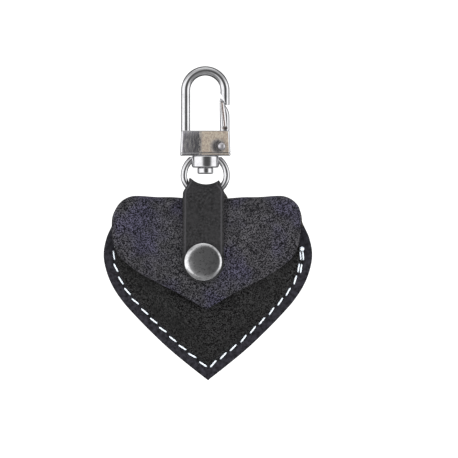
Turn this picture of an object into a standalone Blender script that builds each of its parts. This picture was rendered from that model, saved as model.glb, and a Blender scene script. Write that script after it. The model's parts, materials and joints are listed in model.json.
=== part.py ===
"""A heart-shaped leather pouch for guitar picks, closed by a strap with a press stud, on a swivel snap clasp.

The object hangs from its clasp. The origin is the underside of the hook's crown, where a ring or a loop carries
it. +Z is up, -Y is the front with the flap and the stud's cap, and X runs across the pouch. Sizes are in mm.
"""

import math

import bmesh
import bpy
from mathutils import Matrix

MM = 0.001
TOUCH = 0.1  # gap between flat faces that touch
SKIN = 0.2  # gap between leathers that lie on each other

# Clasp: hook, block, gate, eye ring
HOOK_WIRE = 3.0
HOOK_INSIDE = 9.3  # between the two arms
BLOCK_TOP, BLOCK_BOTTOM = -17.2, -25.0
BLOCK_TOP_WIDTH, BLOCK_BOTTOM_WIDTH, BLOCK_DEPTH = 15.3, 15.9, 6.0
PIVOT_X, PIVOT_Z = 5.1, -22.1
GATE_DEPTH = 2.8
GATE_SLOT_X, GATE_SLOT_FLOOR = 1.6, -24.2
SPRING_X = 2.95
BOSS_TOP, BOSS_BOTTOM = -25.3, -28.75
RING_CENTRE_Z = -31.25
RING_ACROSS, RING_ABOVE, RING_BELOW = 6.75, 6.75, 5.65  # semi-axes of the wire's centreline
RING_WIRE = 2.1
RING_SEAT_Z = RING_CENTRE_Z - RING_BELOW  # the wire's centre where the strap hangs from it

# Pouch leather
LEATHER = 1.3
POUCH_X = 0.8  # the pouch hangs a little to the right
FLAP_SHIFT = -0.5  # and its flap lies a little to the left on it
TOP_Z = -37.5  # the highest line of the fold
TIP_DEPTH = 57.75  # below TOP_Z, as every depth here
FOLD_RADIUS = 3.0
FOLD_Y = 1.2
SHOULDER_SAG, STRAP_SAG = 0.4, 0.4  # the fold dips between its corners, and once more under the strap
HINGE_Z = -39.8  # the flap turns here, on the strap's outer face
HINGE_SPLIT = 0.3
CORNER_DEPTH, CORNER_INSET, FLAP_HALF = 8.0, 6.3, 29.5
PANEL_OUTLINE = [  # depth, half width
    (5.0, 29.0), (8.0, 29.5), (13.1, 31.7), (18.1, 32.65), (22.8, 32.0), (27.8, 30.1),
    (32.8, 26.9), (37.8, 22.5), (42.8, 17.6), (47.8, 12.3), (52.8, 6.3), (TIP_DEPTH, 0.0),
]
FLAP_TIP_DEPTH = 35.5
FLAP_OUTLINE = [
    (5.0, 28.6), (8.0, 29.5), (13.0, 29.3), (16.0, 28.6), (18.5, 27.4), (20.5, 25.6),
    (24.0, 21.2), (27.0, 15.6), (30.0, 9.6), (32.5, 5.2), (34.3, 2.2), (FLAP_TIP_DEPTH, 0.0),
]
MOUTH_SIDE, MOUTH_SCOOP = 9.5, 3.0
SEAM_INSET = 3.1
TIP_SLOPE = 1.27  # half width per depth just above the point
DOME_INSET = 4.4
FLANGE_Y = FOLD_Y + FOLD_RADIUS - LEATHER - 0.3 - LEATHER  # front face of the sewn rim
DOME, PLATEAU = 4.9, 0.45
THREAD = 0.8

# Strap
STRAP = 1.5
STRAP_X = -0.6  # it hangs a little to the left on the ring
STRAP_HALF = 6.5
RING_HALF_OUTSIDE, RING_HALF_INSIDE = 4.9, 3.9  # where it passes through the ring, on its two faces
RISE_HALF = 4.7  # the crown of the loop follows the ring's curve this far from the middle
LOOP_Y, LOOP_RADIUS, LOOP_Z = 0.7, 3.7, -39.1  # the loop's inner face
STRAP_BACK_END = -53.0
RIVET_Z = -46.7

# Press stud, measured outwards from the front panel's face
SNAP_Z = -58.1
SNAP_DEPTH = TOP_Z - SNAP_Z
SNAP_STACK = 2.85  # from the front panel to the flap's inner face
SNAP_FLAT, SNAP_FADE = 6.5, 18.0
SNAP_SIDES = 24


FINISHES = {  # colour, roughness, metallic
    "leather": ((0.035, 0.034, 0.042), 0.55, 0.0),
    "suede": ((0.02, 0.02, 0.021), 0.85, 0.0),
    "thread": ((0.86, 0.87, 0.88), 0.7, 0.0),
    "chrome": ((0.78, 0.78, 0.8), 0.12, 1.0),
    "steel": ((0.6, 0.6, 0.62), 0.3, 1.0),
}


# ---------- small helpers ----------

def clear_scene():
    for obj in list(bpy.data.objects):
        bpy.data.objects.remove(obj)


def collection(name):
    made = bpy.data.collections.new(name)
    bpy.context.scene.collection.children.link(made)
    return made


def material(name, finish):
    colour, roughness, metallic = FINISHES[finish]
    made = bpy.data.materials.new(name)
    made.use_nodes = True
    shader = made.node_tree.nodes["Principled BSDF"]
    shader.inputs["Base Color"].default_value = (*colour, 1.0)
    shader.inputs["Roughness"].default_value = roughness
    shader.inputs["Metallic"].default_value = metallic
    return made


def smoothstep(value, start, end):
    t = min(1.0, max(0.0, (value - start) / (end - start)))
    return t * t * (3 - 2 * t)


def mix(a, b, t):
    return a + (b - a) * t


def soft_min(a, b, blend):
    return 0.5 * (a + b - math.sqrt((a - b) ** 2 + blend**2))


def spline(points, at):
    """The value of a Catmull-Rom curve through (place, value) points."""
    last = len(points) - 2
    i = max(k for k in range(last + 1) if k == 0 or points[k][0] <= at)
    (x1, y1), (x2, y2) = points[i], points[i + 1]
    x0, y0 = points[max(0, i - 1)]
    x3, y3 = points[min(len(points) - 1, i + 2)]
    slope1, slope2 = (y2 - y0) / (x2 - x0), (y3 - y1) / (x3 - x1)
    step = x2 - x1
    t = (at - x1) / step
    return (
        y1 * (2 * t**3 - 3 * t**2 + 1)
        + slope1 * step * (t**3 - 2 * t**2 + t)
        + y2 * (3 * t**2 - 2 * t**3)
        + slope2 * step * (t**3 - t**2)
    )


def add_mesh(name, bm, finish, where):
    mesh = bpy.data.meshes.new(name)
    bm.to_mesh(mesh)
    bm.free()
    mesh.materials.append(material(name, finish))
    obj = bpy.data.objects.new(name, mesh)
    where.objects.link(obj)
    return obj


def as_cutter(obj):
    obj.hide_render = True
    obj.display_type = "WIRE"
    return obj


def boolean(obj, other, operation="DIFFERENCE"):
    modifier = obj.modifiers.new(f"{operation.lower()}_{other.name}", "BOOLEAN")
    modifier.operation = operation
    modifier.object = other
    modifier.solver = "EXACT"
    as_cutter(other)


def smooth(obj, degrees=40):
    obj.data.shade_smooth()
    obj.data.set_sharp_from_angle(angle=math.radians(degrees))


def as_mesh(curve, name, finish, where):
    """The curve object's shape as a mesh object with welded caps, in place of the curve."""
    bpy.context.view_layer.update()
    graph = bpy.context.evaluated_depsgraph_get()
    mesh = bpy.data.meshes.new_from_object(curve.evaluated_get(graph))
    place = curve.matrix_world.copy()
    bpy.data.objects.remove(curve)
    bm = bmesh.new()
    bm.from_mesh(mesh)
    bpy.data.meshes.remove(mesh)
    bmesh.ops.remove_doubles(bm, verts=bm.verts, dist=0.00001)
    bmesh.ops.recalc_face_normals(bm, faces=bm.faces)
    made = add_mesh(name, bm, finish, where)
    made.matrix_world = place
    return made


def wire(name, points, radius, finish, where, sides=2, cyclic=False):
    """A round wire along points in mm. Sides is the bevel resolution: 2 gives 8 sides."""
    curve = bpy.data.curves.new(name, "CURVE")
    curve.dimensions = "3D"
    path = curve.splines.new("POLY")
    path.points.add(len(points) - 1)
    for point, place in zip(path.points, points):
        point.co = (*(c * MM for c in place), 1)
    path.use_cyclic_u = cyclic
    curve.bevel_depth = radius * MM
    curve.bevel_resolution = sides
    curve.use_fill_caps = not cyclic
    curve.materials.append(material(name, finish))
    obj = bpy.data.objects.new(name, curve)
    where.objects.link(obj)
    return obj


def plate(name, outline, thickness, finish, where):
    """A flat outline of (x, z) points, standing in the XZ plane and centred on Y."""
    curve = bpy.data.curves.new(name, "CURVE")
    curve.dimensions = "2D"
    path = curve.splines.new("POLY")
    path.points.add(len(outline) - 1)
    for point, (x, z) in zip(path.points, outline):
        point.co = (x * MM, z * MM, 0, 1)
    path.use_cyclic_u = True
    curve.fill_mode = "BOTH"
    curve.extrude = thickness / 2 * MM
    obj = bpy.data.objects.new(name, curve)
    where.objects.link(obj)
    obj.rotation_euler = (math.pi / 2, 0, 0)
    return as_mesh(obj, name, finish, where)


def cylinder(name, radius, length, centre, axis, finish, where, sides=24):
    bm = bmesh.new()
    bmesh.ops.create_cone(
        bm, cap_ends=True, segments=sides, radius1=radius * MM, radius2=radius * MM, depth=length * MM
    )
    obj = add_mesh(name, bm, finish, where)
    obj.location = [c * MM for c in centre]
    obj.rotation_euler = (math.pi / 2, 0, 0) if axis == "Y" else (0, 0, 0)
    smooth(obj)
    return obj


def box(name, size, centre, finish, where):
    bm = bmesh.new()
    bmesh.ops.create_cube(bm, size=1)
    for vert in bm.verts:
        vert.co = [v * s * MM for v, s in zip(vert.co, size)]
    obj = add_mesh(name, bm, finish, where)
    obj.location = [c * MM for c in centre]
    return obj


def turned(name, profile, centre, turn, finish, where, closed=False, sides=SNAP_SIDES):
    """A turned shape. The profile is (radius, height) in mm, top to bottom on its outer side.
    turn is the object's rotation: (pi/2, 0, 0) points its height towards the front."""
    bm = bmesh.new()
    verts = [bm.verts.new((radius * MM, 0, height * MM)) for radius, height in profile]
    for a, b in zip(verts, verts[1:]):
        bm.edges.new((a, b))
    if closed:
        bm.edges.new((verts[-1], verts[0]))
    obj = add_mesh(name, bm, finish, where)
    screw = obj.modifiers.new("turn", "SCREW")
    screw.steps = screw.render_steps = sides
    screw.use_merge_vertices = True
    screw.merge_threshold = 0.00001
    obj.location = [c * MM for c in centre]
    obj.rotation_euler = turn
    return obj


TO_FRONT = (math.pi / 2, 0, 0)
TO_BACK = (-math.pi / 2, 0, 0)
UPRIGHT = (0, 0, 0)


def sheet(name, rows, thickness, finish, where):
    """A leather piece from a grid of points on its outer face, made solid inwards. Rows run from the back over
    the top to the front, with points from left to right. A row may be one point, as at a tip."""
    bm = bmesh.new()
    grid = [[bm.verts.new([c * MM for c in point]) for point in row] for row in rows]
    for upper, lower in zip(grid, grid[1:]):
        for k in range(max(len(upper), len(lower)) - 1):
            if len(upper) == 1:
                bm.faces.new((upper[0], lower[k], lower[k + 1]))
            elif len(lower) == 1:
                bm.faces.new((upper[k], lower[0], upper[k + 1]))
            else:
                bm.faces.new((upper[k], lower[k], lower[k + 1], upper[k + 1]))
    obj = add_mesh(name, bm, finish, where)
    solid = obj.modifiers.new("leather", "SOLIDIFY")
    solid.thickness = thickness * MM
    solid.offset = -1
    solid.use_even_offset = True
    return obj


def loft(name, sections, finish, where):
    """A solid through closed sections with equal numbers of points."""
    bm = bmesh.new()
    rings = [[bm.verts.new([c * MM for c in point]) for point in section] for section in sections]
    for upper, lower in zip(rings, rings[1:]):
        for k in range(len(upper)):
            bm.faces.new((upper[k], upper[k - 1], lower[k - 1], lower[k]))
    bm.faces.new(rings[0])
    bm.faces.new(reversed(rings[-1]))
    bmesh.ops.recalc_face_normals(bm, faces=bm.faces)
    return add_mesh(name, bm, finish, where)


# ---------- the pouch's shape ----------

def corner_half(depth):
    """Half the leather's width where its corners round off towards the fold."""
    t = (CORNER_DEPTH - depth) / CORNER_DEPTH
    return FLAP_HALF - CORNER_INSET * (1 - math.sqrt(max(0.0, 1 - t * t)))


def panel_half(depth):
    return corner_half(depth) if depth < CORNER_DEPTH else max(0.0, spline(PANEL_OUTLINE, depth))


def flap_half(depth):
    return corner_half(depth) if depth < CORNER_DEPTH else max(0.0, spline(FLAP_OUTLINE, depth))


def inset_half(depth, inset):
    """Half width of the panel's outline moved inwards by inset, square to the edge."""
    slope = (panel_half(depth + 0.1) - panel_half(depth - 0.1)) / 0.2
    return panel_half(depth) - inset * math.sqrt(1 + slope * slope)


def sag(x):
    """How far the strap pulls the fold down at x from the pouch's middle."""
    return SHOULDER_SAG * (1 - smoothstep(abs(x), 15, 22)) + STRAP_SAG * (1 - smoothstep(abs(x), 5, 12))


def panel_y(x, depth):
    """Front face of the front panel, and its line carried on above the mouth."""
    reach = inset_half(depth, DOME_INSET)
    if reach <= 0.1:
        return FLANGE_Y
    across = 1 - smoothstep(abs(x) / reach, PLATEAU, 1.0)
    along = (0.8 + 0.2 * smoothstep(depth, 9, 16)) * (1 - smoothstep(depth, 33, 52.5))
    return FLANGE_Y - DOME * across * along


def flap_inner_y(x, depth):
    """Inner face of the flap: over the front panel, the seam's thread and the press stud."""
    at_fold = FOLD_Y - (FOLD_RADIUS - LEATHER)
    over_panel = soft_min(panel_y(x, depth) - 0.35, -0.1, 0.3)
    off_snap = math.hypot(x + POUCH_X - STRAP_X, depth - SNAP_DEPTH)
    lift = (SNAP_STACK - 0.35) * (1 - smoothstep(off_snap, SNAP_FLAT, SNAP_FADE))
    return mix(at_fold, over_panel, smoothstep(depth, 3, 11)) - lift


def strap_inner_y(x, depth):
    """Inner face of the strap's front, at x from the strap's middle."""
    on_flap = flap_inner_y(x + STRAP_X - POUCH_X, depth) - LEATHER - SKIN
    return soft_min(LOOP_Y - LOOP_RADIUS + 0.08, on_flap, 0.6)


def across(count):
    return [2 * k / count - 1 for k in range(count + 1)]


def folded_leather(leather, where):
    """Back panel and flap, which meet on the fold at the hinge line."""
    columns = 22
    # Back panel, from the tip up the back, over the fold and down to the hinge line
    rows = [[(POUCH_X, FOLD_Y + FOLD_RADIUS, TOP_Z - TIP_DEPTH)]]
    for depth in (54, 50, 46, 42, 38, 34, 30, 26, 22, 18.5, 15, 12, 9.5, 7.5, 5.8, 4.4):
        half = panel_half(depth)
        fade = smoothstep(depth, 14, FOLD_RADIUS)
        rows.append(
            [
                (POUCH_X + u * half, FOLD_Y + FOLD_RADIUS, TOP_Z - depth - sag(u * half) * fade)
                for u in across(columns)
            ]
        )
    for t in (0, 0.12, 0.24, 0.36, 0.48, 0.6, 0.72, 0.84, 0.96, 1):
        row = []
        for u in across(columns):
            # The bend ends where its outer face meets the hinge line
            x = u * corner_half(FOLD_RADIUS)
            centre_z = TOP_Z - FOLD_RADIUS - sag(x)
            end = math.pi - math.asin((HINGE_Z + HINGE_SPLIT / 2 - centre_z) / FOLD_RADIUS)
            angle = end * t
            depth = FOLD_RADIUS * (1 - math.sin(angle))
            x = u * corner_half(depth)
            row.append(
                (POUCH_X + x, FOLD_Y + FOLD_RADIUS * math.cos(angle), centre_z + FOLD_RADIUS * math.sin(angle))
            )
        rows.append(row)
    back = sheet("back_panel", rows, LEATHER, leather, where)

    # Flap: the rest of the bend, then down the front to the point
    rows = []
    for k in range(4):
        row = []
        for u in across(columns):
            x = u * corner_half(FOLD_RADIUS)
            centre_z = TOP_Z - FOLD_RADIUS - sag(x)
            start = math.asin((HINGE_Z - HINGE_SPLIT / 2 - centre_z) / FOLD_RADIUS)
            angle = start * (1 - k / 3)
            x = u * corner_half(FOLD_RADIUS * (1 - math.sin(angle)))
            row.append(
                (POUCH_X + x, FOLD_Y - FOLD_RADIUS * math.cos(angle), centre_z + FOLD_RADIUS * math.sin(angle))
            )
        rows.append(row)
    for depth in (4.6, 6.2, 8, 10, 12, 14, 16, 18.5, 21, 24, 27, 29.5, 31.8, 33.6, 34.8):
        half = flap_half(depth)
        shift = FLAP_SHIFT * smoothstep(depth, FOLD_RADIUS, 8)
        fade = smoothstep(depth, 14, FOLD_RADIUS)
        row = []
        for u in across(columns):
            x = shift + u * half
            row.append((POUCH_X + x, flap_inner_y(x, depth) - LEATHER, TOP_Z - depth - sag(x) * fade))
        rows.append(row)
    tip_y = flap_inner_y(FLAP_SHIFT, FLAP_TIP_DEPTH) - LEATHER
    rows.append([(POUCH_X + FLAP_SHIFT, tip_y, TOP_Z - FLAP_TIP_DEPTH)])
    return back, sheet("flap", rows, LEATHER, leather, where)


def front_panel(leather, where):
    """A sewn rim round a dome, open at the mouth."""
    rows = []
    steps = 19
    for k in range(steps):
        row = []
        for u in across(26):
            mouth = MOUTH_SIDE + MOUTH_SCOOP * (1 - u * u)
            depth = mix(mouth, TIP_DEPTH, k / steps)
            x = u * panel_half(depth)
            row.append((POUCH_X + x, panel_y(x, depth), TOP_Z - depth))
        rows.append(row)
    rows.append([(POUCH_X, FLANGE_Y, TOP_Z - TIP_DEPTH)])
    return sheet("front_panel", rows, LEATHER, leather, where)


def seam_path(y):
    """The stitch line: down the left edge, round the point and up the right edge."""
    steps = 26
    first = MOUTH_SIDE + 1.5
    last = TIP_DEPTH - SEAM_INSET * math.hypot(1, TIP_SLOPE) / TIP_SLOPE + 0.1
    side = []
    for k in range(steps):
        depth = mix(first, last, k / steps)
        side.append((inset_half(depth, SEAM_INSET), depth))
    left = [(POUCH_X - x, y, TOP_Z - depth) for x, depth in side]
    right = [(POUCH_X + x, y, TOP_Z - depth) for x, depth in reversed(side)]
    return left + [(POUCH_X, y, TOP_Z - last)] + right


def strap_half(z, at_ring):
    """Half the strap's width: full below, narrow where it passes through the ring."""
    return mix(STRAP_HALF, at_ring, smoothstep(z, -38.8, -37.0))


def ring_rise(x):
    """How far the ring's inner edge stands above its lowest point, at x from its middle."""
    t = min(abs(x), RISE_HALF) / RING_ACROSS
    root = math.sqrt(1 - t * t)
    slope = RING_BELOW * t / (RING_ACROSS * root)
    thicker = RING_WIRE / 2 * (math.sqrt(1 + slope * slope) - 1)
    return RING_BELOW * (1 - root) + thicker


def strap_parts(leather, where):
    columns = 8
    outer = LOOP_RADIUS + STRAP
    back_y = LOOP_Y + outer

    def section(outside, inside, outer_line, inner_line):
        """Across the strap: its outer face from left to right and its inner face back again. The first two are
        half widths, and each line gives (y, z) at x."""
        out = [(STRAP_X + u * outside, *outer_line(u * outside)) for u in across(columns)]
        return out + [(STRAP_X + u * inside, *inner_line(u * inside)) for u in reversed(across(columns))]

    def flat(y_out, y_in, z, half):
        return section(half, half, lambda x: (y_out, z), lambda x: (y_in, z))

    def bend(angle):
        """Angle 0 is the back leg, pi the front leg. The crown of the loop follows the ring's wire."""
        across_y, up = math.cos(angle), math.sin(angle)
        ramp = smoothstep(up, 0.1, 0.9)

        def line(radius):
            return lambda x: (LOOP_Y + radius * across_y, LOOP_Z + radius * up + ramp * ring_rise(x + STRAP_X))

        z = LOOP_Z + LOOP_RADIUS * up
        return section(
            strap_half(z, RING_HALF_OUTSIDE), strap_half(z, RING_HALF_INSIDE), line(outer), line(LOOP_RADIUS)
        )

    # Back: from the rounded end up the back leg, round the ring, down to the hinge line
    sections = []
    for t in (0.0, 0.08, 0.3, 0.65, 1.0):
        half = STRAP_HALF * math.sqrt(max(0.01, 1 - (1 - t) ** 2))
        sections.append(flat(back_y, back_y - STRAP, STRAP_BACK_END + t * STRAP_HALF, half))
    for z in (-43.5, -41.0):
        sections.append(flat(back_y, back_y - STRAP, z, STRAP_HALF))
    bends = 18
    sections += [bend(math.pi * k / bends) for k in range(bends + 1)]
    sections.append(flat(LOOP_Y - outer, LOOP_Y - LOOP_RADIUS, HINGE_Z + HINGE_SPLIT / 2, STRAP_HALF))
    back = loft("strap_back", sections, leather, where)

    # Front: from the hinge line down the flap to a round end under the stud's cap
    rows = []
    depths = [TOP_Z - HINGE_Z + HINGE_SPLIT / 2, 4.0, 5.5, 7.0, 8.5, 10.0, 11.5, 13.0, 14.5, 16.5, 18.5]
    end = SNAP_DEPTH + STRAP_HALF
    depths += [end - STRAP_HALF * t for t in (1.0, 0.65, 0.3, 0.08, 0.0)]
    for depth in depths:
        past = max(0.0, depth - SNAP_DEPTH) / STRAP_HALF
        half = STRAP_HALF * math.sqrt(max(0.01, 1 - past * past))
        rows.append(
            [(STRAP_X + u * half, strap_inner_y(u * half, depth) - STRAP, TOP_Z - depth) for u in across(columns)]
        )
    front = sheet("strap_front", rows, STRAP, leather, where)
    return back, front


# ---------- metal parts ----------

def hook_frame(metal, where, cutters):
    arm = (HOOK_INSIDE + HOOK_WIRE) / 2
    crown_z = -HOOK_INSIDE / 2
    nose_z = -9.1
    path = [(-arm, 0, z) for z in (BLOCK_TOP - 1.0, -12.0, -8.0)]
    steps = 16
    for k in range(steps + 1):
        angle = math.pi * (1 - k / steps)
        path.append((arm * math.cos(angle), 0, crown_z + arm * math.sin(angle)))
    path.append((arm, 0, nose_z))
    tube = wire("hook_tube", path, HOOK_WIRE / 2, metal, where, sides=4)
    hook = as_mesh(tube, "hook_bow", metal, cutters)

    # The nose is cut on a slant, and the gate's end lies inside it
    wedge = plate("nose_cutter", [(3.5, -3.9), (6.75, -9.4), (3.5, -9.4)], 5.0, metal, cutters)
    boolean(hook, wedge)

    top, bottom = BLOCK_TOP_WIDTH / 2, BLOCK_BOTTOM_WIDTH / 2
    outline = [(-top, BLOCK_TOP), (top, BLOCK_TOP), (bottom, BLOCK_BOTTOM), (-bottom, BLOCK_BOTTOM)]
    block = plate("hook_frame", outline, BLOCK_DEPTH, metal, where)
    rounding = block.modifiers.new("rounding", "BEVEL")
    rounding.width = 0.7 * MM
    rounding.segments = 2
    rounding.limit_method = "ANGLE"
    boolean(block, hook, "UNION")

    slot_size = (BLOCK_BOTTOM_WIDTH, GATE_DEPTH + 0.4, BLOCK_TOP + 1 - GATE_SLOT_FLOOR)
    slot_centre = (GATE_SLOT_X + slot_size[0] / 2, 0, GATE_SLOT_FLOOR + slot_size[2] / 2)
    boolean(block, box("slot_cutter", slot_size, slot_centre, metal, cutters))
    boolean(block, cylinder("pivot_cutter", 1.15, 8, (PIVOT_X, 0, PIVOT_Z), "Y", metal, cutters))
    for side, towards in (("front", -1), ("back", 1)):
        centre = (PIVOT_X, towards * (BLOCK_DEPTH / 2 + 0.1), PIVOT_Z)
        boolean(block, cylinder(f"recess_cutter_{side}", 1.65, 1.2, centre, "Y", metal, cutters))
    boolean(block, cylinder("swivel_cutter", 1.25, 6, (0, 0, -24.9), "Z", metal, cutters))
    return block


def gate(metal, where, cutters):
    """The lever: a stem as wide as the hook's arm, a heel round the pivot and a toe on the spring."""
    outline = [
        (4.65, -6.95), (6.3, -9.7), (7.0, -10.3), (7.5, -11.2), (7.65, -12.3), (7.65, -19.0), (7.75, -22.5),
        (7.2, -23.6), (5.6, -24.0), (4.1, -23.6), (3.9, -21.2), (2.6, -21.2), (2.6, -20.0), (4.0, -18.9),
        (4.65, -18.1),
    ]
    lever = plate("gate", outline, GATE_DEPTH, metal, where)
    boolean(lever, cylinder("gate_cutter", 1.15, 5, (PIVOT_X, 0, PIVOT_Z), "Y", metal, cutters))
    return lever


def gate_pin(metal, where):
    """A rivet: head in the front recess, shank through block and gate, tail in the back recess."""
    half = BLOCK_DEPTH / 2
    profile = [
        (0, half + 0.15), (0.7, half + 0.1), (1.3, half - 0.2), (1.3, half - 0.4), (0.9, half - 0.4),
        (0.9, -half + 0.4), (1.3, -half + 0.4), (1.3, -half + 0.2), (0, -half + 0.2),
    ]
    return turned("gate_pin", profile, (PIVOT_X, 0, PIVOT_Z), TO_FRONT, metal, where, sides=20)


def gate_spring(metal, where):
    """A small compression coil between the slot's floor and the gate's toe."""
    coils, per_coil = 4.5, 12
    wire_radius, radius = 0.14, 0.6
    bottom, top = GATE_SLOT_FLOOR + 0.25, -21.2 - 0.25
    count = int(coils * per_coil)
    points = []
    for k in range(count + 1):
        angle = 2 * math.pi * k / per_coil
        height = mix(bottom, top, k / count)
        points.append((SPRING_X + radius * math.cos(angle), radius * math.sin(angle), height))
    return wire("gate_spring", points, wire_radius, metal, where, sides=1)


def swivel_eye(metal, where, cutters):
    """A ring with a thick boss at its top, bored for the swivel rivet."""
    points = []
    steps = 40
    for k in range(steps):
        angle = 2 * math.pi * k / steps
        tall = RING_ABOVE if math.sin(angle) > 0 else RING_BELOW
        points.append((RING_ACROSS * math.cos(angle), 0, RING_CENTRE_Z + tall * math.sin(angle)))
    ring = as_mesh(
        wire("eye_wire", points, RING_WIRE / 2, metal, where, sides=3, cyclic=True), "eye_ring", metal, cutters
    )
    height = BOSS_TOP - BOSS_BOTTOM
    boss = cylinder("swivel_eye", 4.2, height, (0, 0, BOSS_BOTTOM + height / 2), "Z", metal, where, sides=32)
    for vert in boss.data.vertices:
        vert.co.y *= 0.8
    rounding = boss.modifiers.new("rounding", "BEVEL")
    rounding.width = 0.35 * MM
    rounding.segments = 2
    rounding.limit_method = "ANGLE"
    # The ring's top is cut off flush with the boss
    boolean(ring, box("ring_top_cutter", (20, 6, 4), (0, 0, BOSS_TOP - 0.1 + 2), metal, cutters))
    boolean(boss, ring, "UNION")
    boolean(boss, cylinder("boss_cutter", 1.25, 12, (0, 0, BOSS_BOTTOM), "Z", metal, cutters))
    return boss


def swivel_pin(metal, where):
    """A rivet: head inside the ring, shank through the boss into the block."""
    profile = [
        (0, -22.2), (1.0, -22.2), (1.0, -29.0), (2.45, -29.0), (2.6, -29.2), (2.6, -30.4), (2.35, -30.7),
        (0, -30.7),
    ]
    return turned("swivel_pin", profile, (0, 0, 0), UPRIGHT, metal, where, sides=24)


def press_stud(where):
    """Cap, socket and ring spring on the flap; stud and eyelet on the front panel."""
    face = panel_y(STRAP_X - POUCH_X, SNAP_DEPTH)
    flap_face = face - SNAP_STACK
    strap_face = flap_face - LEATHER - SKIN - STRAP
    seat = -strap_face + 0.12  # heights run towards the front from y = 0
    at = (STRAP_X, 0, SNAP_Z)

    cap = [
        (0, seat + 1.45), (2.2, seat + 1.4), (4.2, seat + 1.15), (5.4, seat + 0.75), (5.9, seat + 0.45),
        (6.0, seat + 0.15), (5.85, seat), (1.5, seat), (1.5, -flap_face - 0.55), (2.0, -flap_face - 0.7),
        (2.0, -flap_face - 0.85), (0, -flap_face - 0.85),
    ]
    upper = [turned("snap_cap", cap, at, TO_FRONT, "chrome", where, sides=32)]

    base = -flap_face - TOUCH
    socket = [
        (1.8, base), (4.9, base), (5.1, base - 0.3), (4.6, base - 0.7), (4.1, base - 1.6), (3.9, base - 2.1),
        (2.4, base - 2.1), (2.4, base - 1.8), (3.2, base - 1.7), (3.2, base - 1.0), (2.4, base - 0.9),
        (2.4, base - 0.45), (1.8, base - 0.45),
    ]
    upper.append(turned("snap_socket", socket, at, TO_FRONT, "chrome", where, closed=True))

    points = []
    turns = 20
    for k in range(turns + 1):
        angle = math.radians(20 + 320 * k / turns)
        points.append((STRAP_X + 2.65 * math.cos(angle), -(base - 1.35), SNAP_Z + 2.65 * math.sin(angle)))
    upper.append(wire("snap_spring", points, 0.2, "steel", where, sides=1))

    foot = -face + TOUCH
    stud = [
        (1.3, foot + 1.5), (1.6, foot + 1.6), (1.85, foot + 1.4), (1.85, foot + 1.1), (1.65, foot + 0.7),
        (1.7, foot + 0.4), (4.6, foot + 0.4), (4.8, foot + 0.2), (4.8, foot), (1.3, foot),
    ]
    lower = [turned("snap_stud", stud, at, TO_FRONT, "chrome", where, closed=True)]

    inside = -face - LEATHER - TOUCH
    eyelet = [
        (0.6, foot + 1.3), (1.0, foot + 1.3), (1.0, inside), (3.9, inside), (4.0, inside - 0.2),
        (3.8, inside - 0.45), (0.6, inside - 0.45),
    ]
    lower.append(turned("snap_post", eyelet, at, TO_FRONT, "chrome", where, closed=True))
    return upper, lower


def rear_rivet(where):
    """A double-cap rivet through the strap's back end and the back panel."""
    at = (STRAP_X, 0, RIVET_Z)
    strap_face = LOOP_Y + LOOP_RADIUS + STRAP + TOUCH
    panel_inside = FOLD_Y + FOLD_RADIUS - LEATHER - TOUCH
    cap = [
        (0, strap_face + 1.2), (1.8, strap_face + 1.1), (3.2, strap_face + 0.75), (3.9, strap_face + 0.3),
        (3.85, strap_face), (1.5, strap_face), (1.5, panel_inside + 0.3), (1.0, panel_inside + 0.3),
        (1.0, strap_face + 0.4), (0, strap_face + 0.4),
    ]
    outside = turned("rear_rivet_cap", cap, at, TO_BACK, "chrome", where)
    post = [
        (0, strap_face + 0.2), (0.75, strap_face + 0.2), (0.75, panel_inside), (3.4, panel_inside),
        (3.5, panel_inside - 0.2), (3.3, panel_inside - 0.4), (0, panel_inside - 0.4),
    ]
    inside = turned("rear_rivet_post", post, at, TO_BACK, "steel", where)
    return outside, inside


def on_pivot(name, place, pieces, where):
    """Parents pieces to an empty on their joint's axis."""
    pivot = bpy.data.objects.new(name, None)
    where.objects.link(pivot)
    pivot.location = [c * MM for c in place]
    for piece in pieces:
        piece.parent = pivot
        piece.matrix_parent_inverse = Matrix.Translation(pivot.location).inverted()
    return pivot


def main():
    clear_scene()
    parts = collection("pick_holder")
    cutters = collection("cutters")

    hook_frame("chrome", parts, cutters)
    gate_pin("steel", parts)
    gate_spring("steel", parts)
    swivel_pin("chrome", parts)
    lever = gate("chrome", parts, cutters)
    eye = swivel_eye("chrome", parts, cutters)

    back, flap = folded_leather("leather", parts)
    front = front_panel("suede", parts)
    strap_back, strap_front = strap_parts("leather", parts)
    off_leather = THREAD / 2 + 0.15
    seam = [
        wire("needle_thread", seam_path(FLANGE_Y - off_leather), THREAD / 2, "thread", parts),
        wire("bobbin_thread", seam_path(FOLD_Y + FOLD_RADIUS + off_leather), THREAD / 2, "thread", parts),
    ]
    upper_snap, lower_snap = press_stud(parts)
    rivet = rear_rivet(parts)

    through_snap = ((STRAP_X, -7, SNAP_Z), 14)
    through_rivet = ((STRAP_X, 4.5, RIVET_Z), 8)
    for piece, hole, (centre, length) in (
        (flap, 1.9, through_snap),
        (strap_front, 1.9, through_snap),
        (front, 1.35, through_snap),
        (back, 1.85, through_rivet),
        (strap_back, 1.85, through_rivet),
    ):
        name = f"{piece.name}_hole_cutter"
        boolean(piece, cylinder(name, hole, length, centre, "Y", "leather", cutters, sides=16))

    on_pivot("gate_pivot", (PIVOT_X, 0, PIVOT_Z), [lever], parts)
    hinge_y = LOOP_Y - LOOP_RADIUS - STRAP
    on_flap = on_pivot("flap_hinge", (0, hinge_y, HINGE_Z), [flap, strap_front, *upper_snap], parts)
    pouch = [back, front, strap_back, *rivet, *seam, *lower_snap, on_flap]
    on_ring = on_pivot("ring_seat", (0, 0, RING_SEAT_Z), pouch, parts)
    on_pivot("eye_swivel", (0, 0, BOSS_TOP), [eye, on_ring], parts)


main()
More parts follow.
